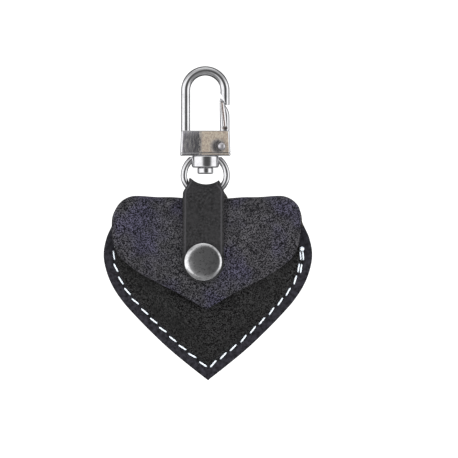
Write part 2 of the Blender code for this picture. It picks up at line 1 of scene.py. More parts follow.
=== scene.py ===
"""Looks for the heart-shaped leather pick holder: leather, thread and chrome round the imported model.

Lengths are in mm in the model's own frame: +Z is up, -Y is the front and X runs across the pouch. The pouch's
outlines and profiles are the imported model's, drawn finer. Depths are measured down from the top of the fold.
"""

import json
import math

import bmesh
import bpy
import numpy as np
from mathutils import Matrix, Vector, noise
from mathutils.kdtree import KDTree


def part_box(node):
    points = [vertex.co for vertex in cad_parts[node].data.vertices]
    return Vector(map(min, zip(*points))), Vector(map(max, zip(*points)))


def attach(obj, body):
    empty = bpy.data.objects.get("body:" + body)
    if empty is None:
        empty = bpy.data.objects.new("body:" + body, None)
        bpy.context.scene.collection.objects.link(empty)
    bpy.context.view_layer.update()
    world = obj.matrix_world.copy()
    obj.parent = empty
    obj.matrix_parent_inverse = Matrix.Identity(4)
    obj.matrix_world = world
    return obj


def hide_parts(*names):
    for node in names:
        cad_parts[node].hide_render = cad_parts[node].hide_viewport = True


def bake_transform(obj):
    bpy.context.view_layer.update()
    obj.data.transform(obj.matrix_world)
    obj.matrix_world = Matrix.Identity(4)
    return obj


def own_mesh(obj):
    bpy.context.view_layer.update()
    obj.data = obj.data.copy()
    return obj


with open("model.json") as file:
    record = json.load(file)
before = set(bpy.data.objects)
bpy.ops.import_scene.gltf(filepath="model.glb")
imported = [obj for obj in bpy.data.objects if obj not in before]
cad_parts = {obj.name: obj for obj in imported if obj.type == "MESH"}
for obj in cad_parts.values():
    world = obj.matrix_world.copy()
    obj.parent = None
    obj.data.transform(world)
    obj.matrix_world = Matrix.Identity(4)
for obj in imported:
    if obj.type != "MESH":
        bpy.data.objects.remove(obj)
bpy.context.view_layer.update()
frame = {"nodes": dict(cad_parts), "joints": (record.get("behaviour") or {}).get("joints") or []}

MM = 0.001


def box_mm(node):
    """(lowest corner, highest corner) of a node in mm."""
    low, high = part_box(node)
    return Vector(low) / MM, Vector(high) / MM


BACK_LOW, BACK_HIGH = box_mm("back_panel")
LOOP_LOW, LOOP_HIGH = box_mm("strap_back")
BLOCK_LOW, BLOCK_HIGH = box_mm("hook_frame")
RING_LOW, RING_HIGH = box_mm("swivel_eye")
CAP_LOW, CAP_HIGH = box_mm("snap_cap")
RIVET_LOW, RIVET_HIGH = box_mm("rear_rivet_cap")

# Pouch
LEATHER, LEATHER_ROUNDING = 1.3, 0.45
POUCH_X = (BACK_LOW.x + BACK_HIGH.x) / 2
TIP_DEPTH = 57.75
TOP_Z = BACK_LOW.z + TIP_DEPTH
FOLD_RADIUS = 3.0
FOLD_Y = BACK_HIGH.y - FOLD_RADIUS
SHOULDER_SAG, STRAP_SAG, SAG_END = 0.4, 0.4, 14.0
CORNER_DEPTH, CORNER_INSET, FLAP_HALF = 8.0, 6.3, 29.5
PANEL_OUTLINE = [  # depth, half width
    (5.0, 29.0), (8.0, 29.5), (13.1, 31.7), (18.1, 32.65), (22.8, 32.0), (27.8, 30.1),
    (32.8, 26.9), (37.8, 22.5), (42.8, 17.6), (47.8, 12.3), (52.8, 6.3), (TIP_DEPTH, 0.0),
]
FLAP_TIP_DEPTH = 35.5
FLAP_OUTLINE = [
    (5.0, 28.6), (8.0, 29.5), (13.0, 29.3), (16.0, 28.6), (18.5, 27.4), (20.5, 25.6),
    (24.0, 21.2), (27.0, 15.6), (30.0, 9.6), (32.5, 5.2), (34.3, 2.2), (FLAP_TIP_DEPTH, 0.0),
]
MOUTH_SIDE, MOUTH_SCOOP = 9.5, 3.0
SEAM_INSET = 3.1
TIP_SLOPE = 1.27  # half width per depth just above the point
FLAP_SHIFT = -0.5  # the flap lies a little to the left on the pouch
DOME_INSET = 4.4
FLANGE_Y = FOLD_Y + FOLD_RADIUS - LEATHER - 0.3 - LEATHER
DOME, PLATEAU = 4.9, 0.45

# Strap
STRAP, STRAP_ROUNDING = 1.5, 0.5
STRAP_X = (CAP_LOW.x + CAP_HIGH.x) / 2
STRAP_HALF = 6.5
SHOULDER_LOW, SHOULDER_HIGH = -38.4, -36.8
FRONT_SHOULDER = 0.7  # the front keeps its full width this much nearer the ring
RING_HALF_OUTSIDE, RING_HALF_INSIDE, RISE_HALF = 4.9, 3.9, 4.7
LOOP_RADIUS = 3.7
LOOP_Y = (LOOP_LOW.y + LOOP_HIGH.y) / 2
LOOP_Z = -39.1
STRAP_BACK_END = LOOP_LOW.z
RIVET_Z = (RIVET_LOW.z + RIVET_HIGH.z) / 2
REAR_LEAN, CROWN_LEAN = 1.1, 0.2
ROUND_END_STEPS = (0, 0.01, 0.03, 0.07, 0.13)

# Press stud
SNAP_Z = (CAP_LOW.z + CAP_HIGH.z) / 2
SNAP_DEPTH = TOP_Z - SNAP_Z
SNAP_STACK = 2.85
SNAP_FLAT, SNAP_FADE = 6.5, 18.0

# Ring
RING_WIRE = 2.1
RING_ACROSS = RING_HIGH.x - RING_WIRE / 2
RING_CENTRE_Z = -31.25
RING_ABOVE = RING_ACROSS
RING_BELOW = RING_CENTRE_Z - RING_LOW.z - RING_WIRE / 2

# Clasp
HOOK_WIRE, HOOK_INSIDE = 3.0, 9.3
BLOCK_TOP, BLOCK_BOTTOM = -17.2, BLOCK_LOW.z
BLOCK_TOP_HALF, BLOCK_CORNER, BLOCK_SWELL = 7.6, 0.85, 0.3
PIVOT = next(joint["pos_m"] for joint in frame["joints"] if joint["name"] == "gate_swing")
PIVOT_X, PIVOT_Z = PIVOT[0] / MM, PIVOT[2] / MM
PIN_HOLE, SWIVEL_HOLE = 1.15, 1.25
GATE_DEPTH = 2.8
GROOVE_X, GROOVE_Z, GROOVE_SLOPE = 6.05, -15.85, -0.1118  # the groove's foot, and how far it leans inwards
STEP_X, STEP_Z = 6.1, -16.4
SLOT_X, SLOT_FLOOR = 1.6, -24.2
BOSS_TOP, BOSS_BOTTOM = RING_HIGH.z, -28.75

TO_FRONT = Matrix.Rotation(math.pi / 2, 4, "X")
TO_BACK = Matrix.Rotation(-math.pi / 2, 4, "X")


# ---------- shapes as numbers ----------

def smoothstep(value, start, end):
    t = min(1.0, max(0.0, (value - start) / (end - start)))
    return t * t * (3 - 2 * t)


def mix(a, b, t):
    return a + (b - a) * t


def soft_min(a, b, blend):
    return 0.5 * (a + b - math.sqrt((a - b) ** 2 + blend**2))


def bump(value, centre, width):
    """1 at the centre, fading smoothly over the width on both sides."""
    return math.exp(-(((value - centre) / width) ** 2))


def spline(points, at):
    """The value of a Catmull-Rom curve through (place, value) points."""
    last = len(points) - 2
    i = max(k for k in range(last + 1) if k == 0 or points[k][0] <= at)
    (x1, y1), (x2, y2) = points[i], points[i + 1]
    x0, y0 = points[max(0, i - 1)]
    x3, y3 = points[min(len(points) - 1, i + 2)]
    slope1, slope2 = (y2 - y0) / (x2 - x0), (y3 - y1) / (x3 - x1)
    step = x2 - x1
    t = (at - x1) / step
    return (
        y1 * (2 * t**3 - 3 * t**2 + 1)
        + slope1 * step * (t**3 - 2 * t**2 + t)
        + y2 * (3 * t**2 - 2 * t**3)
        + slope2 * step * (t**3 - t**2)
    )


def wobble(x, y, z, size, amount):
    """A smooth uneven height, about +-amount, with lumps of the given size."""
    return amount * noise.noise(Vector((x, y, z)) / size)


def corner_half(depth):
    t = (CORNER_DEPTH - depth) / CORNER_DEPTH
    return FLAP_HALF - CORNER_INSET * (1 - math.sqrt(max(0.0, 1 - t * t)))


def panel_half(depth):
    return corner_half(depth) if depth < CORNER_DEPTH else max(0.0, spline(PANEL_OUTLINE, depth))


def flap_half(depth):
    return corner_half(depth) if depth < CORNER_DEPTH else max(0.0, spline(FLAP_OUTLINE, depth))


def stretch_of(half_at, depth):
    """How much longer a step inwards is along X than square to the edge."""
    slope = (half_at(depth + 0.1) - half_at(depth - 0.1)) / 0.2
    return math.sqrt(1 + min(slope * slope, 4))


def inset_half(depth, inset):
    return panel_half(depth) - inset * stretch_of(panel_half, depth)


def sag(x):
    return SHOULDER_SAG * (1 - smoothstep(abs(x), 15, 22)) + STRAP_SAG * (1 - smoothstep(abs(x), 5, 12))


def laid_z(x, depth):
    """Height of the leather at a depth below the fold, where the fold's sag evens out further down."""
    return TOP_Z - depth - sag(x) * (1 - smoothstep(depth, FOLD_RADIUS, SAG_END))


def panel_y(x, depth):
    reach = inset_half(depth, DOME_INSET)
    if reach <= 0.1:
        return FLANGE_Y
    across = 1 - smoothstep(abs(x) / reach, PLATEAU, 1.0)
    along = (0.8 + 0.2 * smoothstep(depth, 9, 16)) * (1 - smoothstep(depth, 33, 52.5))
    return FLANGE_Y - DOME * across * along


def flap_inner_y(x, depth):
    at_fold = FOLD_Y - (FOLD_RADIUS - LEATHER)
    over_panel = soft_min(panel_y(x, depth) - 0.35, -0.1, 0.3)
    off_snap = math.hypot(x + POUCH_X - STRAP_X, depth - SNAP_DEPTH)
    lift = (SNAP_STACK - 0.35) * (1 - smoothstep(off_snap, SNAP_FLAT, SNAP_FADE))
    return mix(at_fold, over_panel, smoothstep(depth, 3, 11)) - lift


def strap_inner_y(x, depth):
    on_flap = flap_inner_y(x + STRAP_X - POUCH_X, depth) - LEATHER - 0.2
    return soft_min(LOOP_Y - LOOP_RADIUS + 0.08, on_flap, 0.6)


def strap_half(z, at_ring):
    return mix(STRAP_HALF, at_ring, smoothstep(z, SHOULDER_LOW, SHOULDER_HIGH))


def round_end_half(past):
    """Half width of a round strap end: past is 0 where the rounding starts and 1 at the tip."""
    return STRAP_HALF * math.sqrt(max(0.004, 1 - past**2))


def ring_rise(x):
    t = min(abs(x), RISE_HALF) / RING_ACROSS
    root = math.sqrt(1 - t * t)
    slope = RING_BELOW * t / (RING_ACROSS * root)
    thicker = RING_WIRE / 2 * (math.sqrt(1 + slope * slope) - 1)
    return RING_BELOW * (1 - root) + thicker


# ---------- meshes ----------

EDGE_STEPS = (0.0, 0.06, 0.15, 0.3, 0.55)


def places(half, stretch, count):
    """Places from -half to half, close together at both edges."""
    scale = stretch * min(1.0, half * 0.45 / (EDGE_STEPS[-1] * stretch))
    edge = [half - step * scale for step in EDGE_STEPS]
    inside = edge[-1]
    middle = [inside * (2 * k / count - 1) for k in range(1, count)]
    return [-x for x in edge] + middle + edge[::-1]


def from_edge(step_list, end, count):
    """Places from 0 with close steps first, then even ones up to end."""
    start = step_list[-1]
    return list(step_list) + [mix(start, end, k / count) for k in range(1, count + 1)]


def normals_of(grid):
    """Outward unit normals of a grid of points whose rows run down the front."""
    down = np.gradient(grid, axis=0)
    right = np.gradient(grid, axis=1)
    normal = np.cross(down, right)
    length = np.linalg.norm(normal, axis=2, keepdims=True)
    return normal / np.maximum(length, 1e-9)


def new_object(name, bm, materials=()):
    """A mesh object whose points remember their own place in mm, as the attribute "rest"."""
    mesh = bpy.data.meshes.new(name)
    bm.to_mesh(mesh)
    bm.free()
    places_m = np.empty(len(mesh.vertices) * 3, np.float32)
    mesh.vertices.foreach_get("co", places_m)
    mesh.attributes.new("rest", "FLOAT_VECTOR", "POINT").data.foreach_set("vector", places_m / MM)
    for finish in materials:
        mesh.materials.append(finish)
    obj = bpy.data.objects.new(name, mesh)
    bpy.context.scene.collection.objects.link(obj)
    return obj


def coat(obj, *finishes):
    """Gives the object these materials and no others. Every face gets the first."""
    obj.data.materials.clear()
    for finish in finishes:
        obj.data.materials.append(finish)


def ridden(obj, body, node):
    """Fixes a piece to a body, in place of a CAD node."""
    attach(obj, body)
    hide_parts(node)


def smooth(obj, degrees=38):
    obj.data.shade_smooth()
    obj.data.set_sharp_from_angle(angle=math.radians(degrees))
    return obj


def from_border(grid, open_rows=()):
    """Distance of each point of a grid to its border. open_rows are end rows that another piece meets."""
    sides = [grid[:, 0], grid[:, -1]] + [grid[row] for row in (0, -1) if row not in open_rows]
    tree_points = []
    for line in sides:
        for a, b in zip(line, line[1:]):
            tree_points += [a, a + (b - a) / 3, a + (b - a) * 2 / 3]
        tree_points.append(line[-1])
    tree = KDTree(len(tree_points))
    for k, place in enumerate(tree_points):
        tree.insert(place, k)
    tree.balance()
    return np.array([[tree.find(place)[2] for place in row] for row in grid])


def slab(name, outer, thickness, rounding, finish, marks=None, open_rows=(), inner=None):
    """A leather piece under a grid of points on its face, with its edges rounded off. The finish is for its
    face. marks holds grids to store as attributes, by name."""
    outer = np.array(outer, float)
    inner = outer - normals_of(outer) * thickness if inner is None else np.array(inner, float)
    rows, columns = outer.shape[:2]
    half = np.linalg.norm(outer - inner, axis=2, keepdims=True) / 2
    t = 1 - np.clip(from_border(outer, open_rows) / rounding, 0, 1)[..., None]
    keep = (half - rounding * (1 - np.sqrt(1 - t * t))) / np.maximum(half, 1e-6)
    middle, reach = (outer + inner) / 2, (outer - inner) / 2 * keep
    bm = bmesh.new()
    layers = {key: bm.verts.layers.float.new(key) for key in marks or {}}
    face = [[bm.verts.new(p * MM) for p in row] for row in middle + reach]
    flesh = [[bm.verts.new(p * MM) for p in row] for row in middle - reach]
    for key, layer in layers.items():
        for i in range(rows):
            for j in range(columns):
                face[i][j][layer] = flesh[i][j][layer] = marks[key][i][j]
    for i in range(rows - 1):
        for j in range(columns - 1):
            bm.faces.new((face[i][j], face[i + 1][j], face[i + 1][j + 1], face[i][j + 1]))
            back = bm.faces.new((flesh[i][j], flesh[i][j + 1], flesh[i + 1][j + 1], flesh[i + 1][j]))
            back.material_index = 2
    border = [(0, j) for j in range(columns - 1)]
    border += [(i, columns - 1) for i in range(rows - 1)]
    border += [(rows - 1, j) for j in range(columns - 1, 0, -1)]
    border += [(i, 0) for i in range(rows - 1, 0, -1)]
    for (i, j), (k, m) in zip(border, border[1:] + border[:1]):
        rim = bm.faces.new((face[i][j], face[k][m], flesh[k][m], flesh[i][j]))
        rim.material_index = 1
    return smooth(new_object(name, bm, (finish, CUT_EDGE, FLESH)), 50)


def skin(bm, rings, ends=True):
    """Faces from each ring of points to the next and, with ends, across the first and the last."""
    for a, b in zip(rings, rings[1:]):
        for k in range(len(a)):
            bm.faces.new((a[k - 1], a[k], b[k], b[k - 1]))
    if ends:
        bm.faces.new(list(reversed(rings[0])))
        bm.faces.new(rings[-1])


def lofted(name, rings):
    """A solid through rings of (x, y, z) points."""
    bm = bmesh.new()
    skin(bm, [[bm.verts.new((x * MM, y * MM, z * MM)) for x, y, z in ring] for ring in rings])
    bmesh.ops.recalc_face_normals(bm, faces=bm.faces)
    return new_object(name, bm)


def tube(name, points, radius, materials=(), sides=16, cyclic=False):
    """A round wire through points."""
    path = [Vector(p) for p in points]
    count = len(path)
    bm = bmesh.new()
    rings = []
    side = None
    for k, place in enumerate(path):
        before = path[k - 1] if k or cyclic else place
        after = path[(k + 1) % count] if k < count - 1 or cyclic else place
        along = (after - before).normalized()
        if side is None:
            side = along.orthogonal().normalized()
        side = (side - along * side.dot(along)).normalized()
        up = along.cross(side)
        ring = []
        for s in range(sides):
            angle = 2 * math.pi * s / sides
            offset = side * (radius * math.cos(angle)) + up * (radius * math.sin(angle))
            ring.append(bm.verts.new((place + offset) * MM))
        rings.append(ring)
    if cyclic:
        # The last ring meets the first one where its points lie nearest
        first, last = rings[0], rings[-1]
        turn = min(range(sides), key=lambda s: (first[s].co - last[0].co).length)
        rings.append(first[turn:] + first[:turn])
    skin(bm, rings, not cyclic)
    bmesh.ops.recalc_face_normals(bm, faces=bm.faces)
    return smooth(new_object(name, bm, materials))


def rounded(profile, radii, steps=6):
    """The (radius, height) profile with the corners that have a radius turned into arcs."""
    out = []
    for k, place in enumerate(profile):
        r = radii.get(k, 0)
        if not r:
            out.append(place)
            continue
        here = Vector(place)
        a = (Vector(profile[k - 1]) - here).normalized()
        b = (Vector(profile[(k + 1) % len(profile)]) - here).normalized()
        for s in range(steps + 1):
            t = s / steps
            out.append(tuple(here + a * r * (1 - t) ** 2 + b * r * t**2))
    return out


def turned(name, profile, centre, turn, materials, sides=96):
    """A turned solid. The profile of (radius, height) runs from top to bottom, and starts and ends on the
    axis or closes on itself."""
    closed = profile[0][0] > 0
    angles = [2 * math.pi * s / sides for s in range(sides)]
    bm = bmesh.new()
    rings = []
    for radius, height in profile:
        ring = [(radius * math.cos(a), radius * math.sin(a)) for a in angles] if radius > 1e-6 else [(0, 0)]
        rings.append([bm.verts.new((x * MM, y * MM, height * MM)) for x, y in ring])
    pairs = list(zip(rings, rings[1:])) + ([(rings[-1], rings[0])] if closed else [])
    for a, b in pairs:
        for s in range(sides):
            n = (s + 1) % sides
            if len(a) == 1:
                bm.faces.new((a[0], b[s], b[n]))
            elif len(b) == 1:
                bm.faces.new((a[s], b[0], a[n]))
            else:
                bm.faces.new((a[s], b[s], b[n], a[n]))
    bmesh.ops.recalc_face_normals(bm, faces=bm.faces)
    bm.transform(Matrix.Translation(Vector(centre) * MM) @ turn)
    return smooth(new_object(name, bm, materials))


def prism(name, outline, y_front, y_back, materials=()):
    """An outline of (x, z) points pushed through along Y."""
    bm = bmesh.new()
    front = [bm.verts.new((x * MM, y_front * MM, z * MM)) for x, z in outline]
    back = [bm.verts.new((x * MM, y_back * MM, z * MM)) for x, z in outline]
    bm.faces.new(front)
    bm.faces.new(list(reversed(back)))
    for k in range(len(outline)):
        bm.faces.new((front[k], back[k], back[k - 1], front[k - 1]))
    bmesh.ops.recalc_face_normals(bm, faces=bm.faces)
    return new_object(name, bm, materials)


def bored(name, radius, centre, length, axis="Y"):
    """A cutter for a round hole."""
    half = length / 2
    turn = TO_FRONT if axis == "Y" else Matrix.Identity(4)
    return turned(name, [(0, half), (radius, half), (radius, -half), (0, -half)], centre, turn, (), 48)


def combine(obj, others, operation="DIFFERENCE"):
    """Cuts others from obj, or joins them to it, and removes them."""
    for other in others:
        modifier = obj.modifiers.new(other.name, "BOOLEAN")
        modifier.operation = operation
        modifier.object = other
        modifier.solver = "EXACT"
    settle(obj)
    for other in others:
        bpy.data.objects.remove(other)
    return obj


def settle(obj):
    """Turns the object's modifiers into mesh."""
    graph = bpy.context.evaluated_depsgraph_get()
    graph.update()
    mesh = bpy.data.meshes.new_from_object(obj.evaluated_get(graph))
    obj.modifiers.clear()
    old, obj.data = obj.data, mesh
    bpy.data.meshes.remove(old)
    return obj


def bevelled(obj, width, segments=3, degrees=30):
    modifier = obj.modifiers.new("rounding", "BEVEL")
    modifier.width = width * MM
    modifier.segments = segments
    modifier.limit_method = "ANGLE"
    modifier.angle_limit = math.radians(degrees)
    modifier.harden_normals = False
    return obj


# ---------- materials ----------

class Nodes:
    """Short calls that add linked nodes to a tree."""

    def __init__(self, tree):
        self.tree = tree

    def node(self, kind, values=None, **settings):
        made = self.tree.nodes.new(kind)
        for key, value in settings.items():
            setattr(made, key, value)
        for socket, value in (values or {}).items():
            self.put(made.inputs[socket], value)
        return made

    def put(self, socket, value):
        if isinstance(value, bpy.types.NodeSocket):
            self.tree.links.new(value, socket)
        else:
            socket.default_value = value

    def ramp(self, value, *stops):
        """Greys or colours at positions, easing between them."""
        made = self.node("ShaderNodeValToRGB", {"Fac": value})
        elements = made.color_ramp.elements
        made.color_ramp.interpolation = "EASE"
        while len(elements) < len(stops):
            elements.new(1.0)
        for element, (place, colour) in zip(elements, stops):
            element.position = place
            element.color = (colour, colour, colour, 1) if isinstance(colour, float) else (*colour, 1)
        return made.outputs["Color"]

    def rise(self, value, start, end, kind="SMOOTHSTEP"):
        """0 at start and 1 at end."""
        values = {"Value": value, "From Min": start, "From Max": end}
        return self.node("ShaderNodeMapRange", values, interpolation_type=kind).outputs["Result"]

    def maths(self, operation, a, b=0.0, c=0.0):
        return self.node("ShaderNodeMath", {0: a, 1: b, 2: c}, operation=operation).outputs[0]

    def vectors(self, operation, a, b):
        made = self.node("ShaderNodeVectorMath", {0: a, 1: b}, operation=operation)
        return made.outputs["Vector" if operation == "MULTIPLY" else "Value"]

    def colours(self, factor, a, b, kind="MIX"):
        made = self.node("ShaderNodeMix", data_type="RGBA", blend_type=kind)
        for index, value in ((0, factor), (6, a), (7, b)):
            self.put(made.inputs[index], (*value, 1) if isinstance(value, tuple) else value)
        return made.outputs[2]

    def fade(self, value, start, end, a, b, most=1.0):
        """From colour a, where the value is under start, to most of the way to b, where it is past end."""
        return self.colours(self.ramp(value, (start, 0.0), (end, most)), a, b)


class Finish(Nodes):
    """A Principled material. Leather and thread are placed by their rest position, and metal by its object
    coordinates. Sizes and heights are in mm."""

    def __init__(self, name, at_rest=True, **sockets):
        self.material = bpy.data.materials.new(name)
        self.material.use_nodes = True
        super().__init__(self.material.node_tree)
        self.shader = self.tree.nodes["Principled BSDF"]
        self.set(**sockets)
        if at_rest:
            self.place = self.node("ShaderNodeAttribute", attribute_name="rest").outputs["Vector"]
        else:
            in_metres = self.node("ShaderNodeTexCoord").outputs["Object"]
            self.place = self.vectors("MULTIPLY", in_metres, (1 / MM, 1 / MM, 1 / MM))

    def set(self, **sockets):
        for socket, value in sockets.items():
            self.put(self.shader.inputs[socket.replace("_", " ")], value)
        return self.material

    def mark(self, name="mark"):
        return self.node("ShaderNodeAttribute", attribute_name=name).outputs["Fac"]

    def across_and_up(self):
        split = self.node("ShaderNodeSeparateXYZ", {0: self.place})
        return split.outputs["X"], split.outputs["Z"]

    def stretched(self, x, y, z):
        return self.vectors("MULTIPLY", self.place, (x, y, z))

    def noise(self, size, detail, roughness, place=None):
        values = {"Vector": place or self.place, "Scale": 1 / size, "Detail": detail, "Roughness": roughness}
        return self.node("ShaderNodeTexNoise", values).outputs["Fac"]

    def cells(self, size, feature):
        return self.node("ShaderNodeTexVoronoi", {"Vector": self.place, "Scale": 1 / size}, feature=feature)

    def pebbles(self, size, smoothness):
        made = self.cells(size, "SMOOTH_F1")
        made.inputs["Smoothness"].default_value = smoothness
        return made.outputs["Distance"]

    def grit(self, cell, lump):
        """Fine unevenness: a random grey in each cell, over lumps."""
        specks = self.node("ShaderNodeSeparateColor", {0: self.cells(cell, "F1").outputs["Color"]}).outputs[0]
        return self.maths("MULTIPLY_ADD", specks, 0.4, self.maths("ADD", self.noise(lump, 2.0, 0.6), -0.2))

    def mean(self, a, b):
        return self.maths("MULTIPLY_ADD", a, 0.5, self.maths("MULTIPLY", b, 0.5))

    def bump(self, height, tall, below=None):
        values = {"Height": height, "Distance": tall * MM, "Strength": 1.0}
        if below:
            values["Normal"] = below
        return self.node("ShaderNodeBump", values).outputs["Normal"]


def grain_leather(name, dark, light, sheen_tint, pebble):
    """Semi-matt leather with a pebbled grain. Its tops and random specks are lighter, partly as painted
    glints, and large patches are tinted purple as a painted sheen.
    """
    f = Finish(name, Specular_IOR_Level=0.14, Sheen_Weight=0.02, Sheen_Roughness=0.4)
    creases = f.ramp(f.cells(pebble * 1.6, "DISTANCE_TO_EDGE").outputs["Distance"], (0.0, 0.0), (0.28, 1.0))
    fine = f.grit(pebble * 0.62, pebble * 0.5)
    uneven = f.noise(3.2, 3.0, 0.6)
    patches = f.noise(13.0, 2.0, 0.55)
    # The grain's tops and random specks: lighter in colour, partly as painted glints, and raised in height
    tops = f.maths("MULTIPLY_ADD", f.pebbles(pebble, 0.35), -0.35, f.maths("MULTIPLY_ADD", fine, 1.2, 0.05))
    colour = f.fade(tops, 0.38, 0.62, dark, light)
    # Painted sheen: large patches of the colour tinted purple
    colour = f.fade(patches, 0.42, 0.66, colour, f.colours(1.0, colour, sheen_tint, "MULTIPLY"), 0.85)
    colour = f.colours(f.ramp(uneven, (0.3, 0.35), (0.7, 0.0)), colour, dark)
    height = f.maths("MULTIPLY_ADD", creases, 0.55, f.maths("MULTIPLY", tops, 0.6))
    rough = f.ramp(f.mean(fine, uneven), (0.3, 0.5), (0.7, 0.68))
    return f.set(Base_Color=colour, Roughness=rough, Normal=f.bump(height, 0.09, f.bump(uneven, 0.25)))


def front_finish():
    """The front: napped and matt on the dome, smooth and flat on the sewn rim, with painted shade in the
    needle holes.
    """
    f = Finish("napped_leather", Specular_IOR_Level=0.1, Sheen_Weight=0.02, Sheen_Roughness=0.5)
    rim, hole = f.mark(), f.mark("hole")
    nap = f.grit(0.28, 0.22)
    brushed = f.noise(4.5, 4.0, 0.65, f.stretched(1.0, 1.0, 0.6))
    scuffs = f.noise(1.4, 5.0, 0.7)
    dome = f.fade(nap, 0.38, 0.66, (0.0, 0.0, 0.0), (0.027, 0.027, 0.027))
    dome = f.fade(brushed, 0.38, 0.7, dome, (0.006, 0.006, 0.006), 0.55)
    edge = f.fade(scuffs, 0.3, 0.75, (0.004, 0.0039, 0.005), (0.025, 0.024, 0.031))
    # Painted shade: the needle holes, where the mark "hole" lies, are darkened
    colour = f.colours(hole, f.colours(rim, dome, edge), (0.004, 0.004, 0.004))
    rough = f.colours(rim, f.ramp(nap, (0.3, 0.72), (0.7, 0.92)), f.ramp(scuffs, (0.3, 0.42), (0.7, 0.6)))
    height = f.colours(rim, nap, scuffs)
    return f.set(Base_Color=colour, Roughness=rough, Normal=f.bump(height, 0.07, f.bump(brushed, 0.2)))


def strap_finish():
    """Smoother leather, creased along its edges, where the mark lies and a painted highlight lightens the
    crease.
    """
    f = Finish("strap_leather", Specular_IOR_Level=0.12)
    fine = f.noise(0.7, 4.0, 0.7)
    pulled = f.noise(2.4, 4.0, 0.6, f.stretched(1.0, 1.0, 0.35))
    colour = f.fade(fine, 0.3, 0.75, (0.004, 0.004, 0.0042), (0.028, 0.0275, 0.029))
    colour = f.fade(pulled, 0.35, 0.7, colour, (0.02, 0.0195, 0.0205), 0.6)
    # Painted highlight: a lighter line along the crease near each edge
    colour = f.colours(f.mark(), colour, (0.042, 0.041, 0.044))
    rough = f.ramp(pulled, (0.3, 0.5), (0.7, 0.64))
    height = f.maths("MULTIPLY_ADD", f.pebbles(0.42, 0.5), -0.6, fine)
    return f.set(Base_Color=colour, Roughness=rough, Normal=f.bump(height, 0.04, f.bump(pulled, 0.15)))


def cut_edge_finish():
    """Fibres on a cut edge, burnished in places."""
    f = Finish("cut_edge", Specular_IOR_Level=0.4)
    fibres = f.noise(0.3, 5.0, 0.7)
    wear = f.noise(2.2, 3.0, 0.6)
    colour = f.fade(fibres, 0.3, 0.72, (0.02, 0.019, 0.02), (0.13, 0.125, 0.128))
    colour = f.fade(wear, 0.35, 0.7, colour, (0.03, 0.028, 0.03), 0.7)
    rough = f.ramp(wear, (0.3, 0.5), (0.7, 0.75))
    return f.set(Base_Color=colour, Roughness=rough, Normal=f.bump(fibres, 0.09))


def flesh_finish():
    """The leather's fibrous inside."""
    f = Finish("flesh_side", Specular_IOR_Level=0.25, Sheen_Weight=0.2, Sheen_Roughness=0.6)
    fibres = f.noise(0.28, 5.0, 0.75)
    clumps = f.noise(1.6, 4.0, 0.65)
    colour = f.fade(fibres, 0.3, 0.7, (0.01, 0.009, 0.0085), (0.05, 0.045, 0.041))
    colour = f.fade(clumps, 0.35, 0.68, colour, (0.02, 0.018, 0.0165), 0.6)
    rough = f.ramp(clumps, (0.3, 0.85), (0.7, 0.95))
    return f.set(Base_Color=colour, Roughness=rough, Normal=f.bump(fibres, 0.12))


def thread_finish():
    """Waxed white thread. The mark runs from 0 in the grooves between its plies to 1 on their tops; the
    grooves get painted shade.
    """
    f = Finish("waxed_thread", Specular_IOR_Level=0.4, Sheen_Weight=0.1, Sheen_Roughness=0.3)
    fuzz = f.noise(0.12, 3.0, 0.6)
    grime_and_shade = f.noise(2.8, 3.0, 0.6)
    # Painted shade: darker and bluer in the grooves between the plies
    colour = f.fade(f.mark(), 0.0, 0.8, (0.33, 0.38, 0.43), (0.8, 0.85, 0.9))
    colour = f.fade(grime_and_shade, 0.45, 0.75, colour, (0.5, 0.55, 0.6), 0.5)
    rough = f.ramp(fuzz, (0.3, 0.5), (0.7, 0.7))
    return f.set(Base_Color=colour, Roughness=rough, Normal=f.bump(fuzz, 0.03))


PLATING = (0.82, 0.82, 0.84)


def chrome_finish(name, base, rough=(0.05, 0.16), cloudy=0.0, spotted=(0.58, 0.74)):
    """Plated metal with faint scratches, uneven cloudiness and darker spots."""
    f = Finish(name, at_rest=False, Metallic=1.0)
    lines = f.noise(0.16, 3.0, 0.6)
    clouds = f.noise(2.0, 4.0, 0.6)
    spots = f.noise(0.7, 3.0, 0.6)
    shade = f.fade(clouds, 0.4, 0.75, base, tuple(c * 0.6 for c in base), 0.35 + cloudy)
    shade = f.fade(spots, *spotted, shade, tuple(c * 0.45 for c in base), 0.25 + cloudy)
    roughness = f.ramp(f.mean(lines, clouds), (0.35, rough[0]), (0.65, rough[1]))
    return f.set(Base_Color=shade, Roughness=roughness, Normal=f.bump(lines, 0.004))


def gate_finish():
    """Chrome, darker and browner in the groove and in the step at its foot."""
    f = Finish("gate_chrome", at_rest=False, Metallic=1.0)
    lines = f.noise(0.16, 3.0, 0.6)
    grime_and_shade = f.noise(0.6, 4.0, 0.7)
    across, up = f.across_and_up()
    middle = f.maths("MULTIPLY_ADD", up, GROOVE_SLOPE, GROOVE_X - GROOVE_SLOPE * GROOVE_Z)
    aside = f.maths("ABSOLUTE", f.maths("SUBTRACT", across, middle))
    in_groove = f.rise(f.maths("MULTIPLY_ADD", grime_and_shade, 0.2, aside), 0.48, 0.2)
    groove_ends = f.maths("MULTIPLY", f.rise(up, -7.9, -8.6), f.rise(up, -16.1, -15.8))
    from_step = f.vectors("DISTANCE", f.stretched(0.5, 0.0, 1.0), (STEP_X / 2, 0, STEP_Z))
    in_step = f.maths("MULTIPLY", f.rise(from_step, 0.6, 0.35), 0.75)
    darkened = f.maths("MAXIMUM", f.maths("MULTIPLY", in_groove, groove_ends), in_step)
    shade = f.colours(darkened, PLATING, f.fade(grime_and_shade, 0.35, 0.65, (0.13, 0.09, 0.08), (0.42, 0.32, 0.27)))
    rough = f.ramp(lines, (0.35, 0.05), (0.65, 0.15))
    return f.set(Base_Color=shade, Roughness=rough, Normal=f.bump(lines, 0.004))


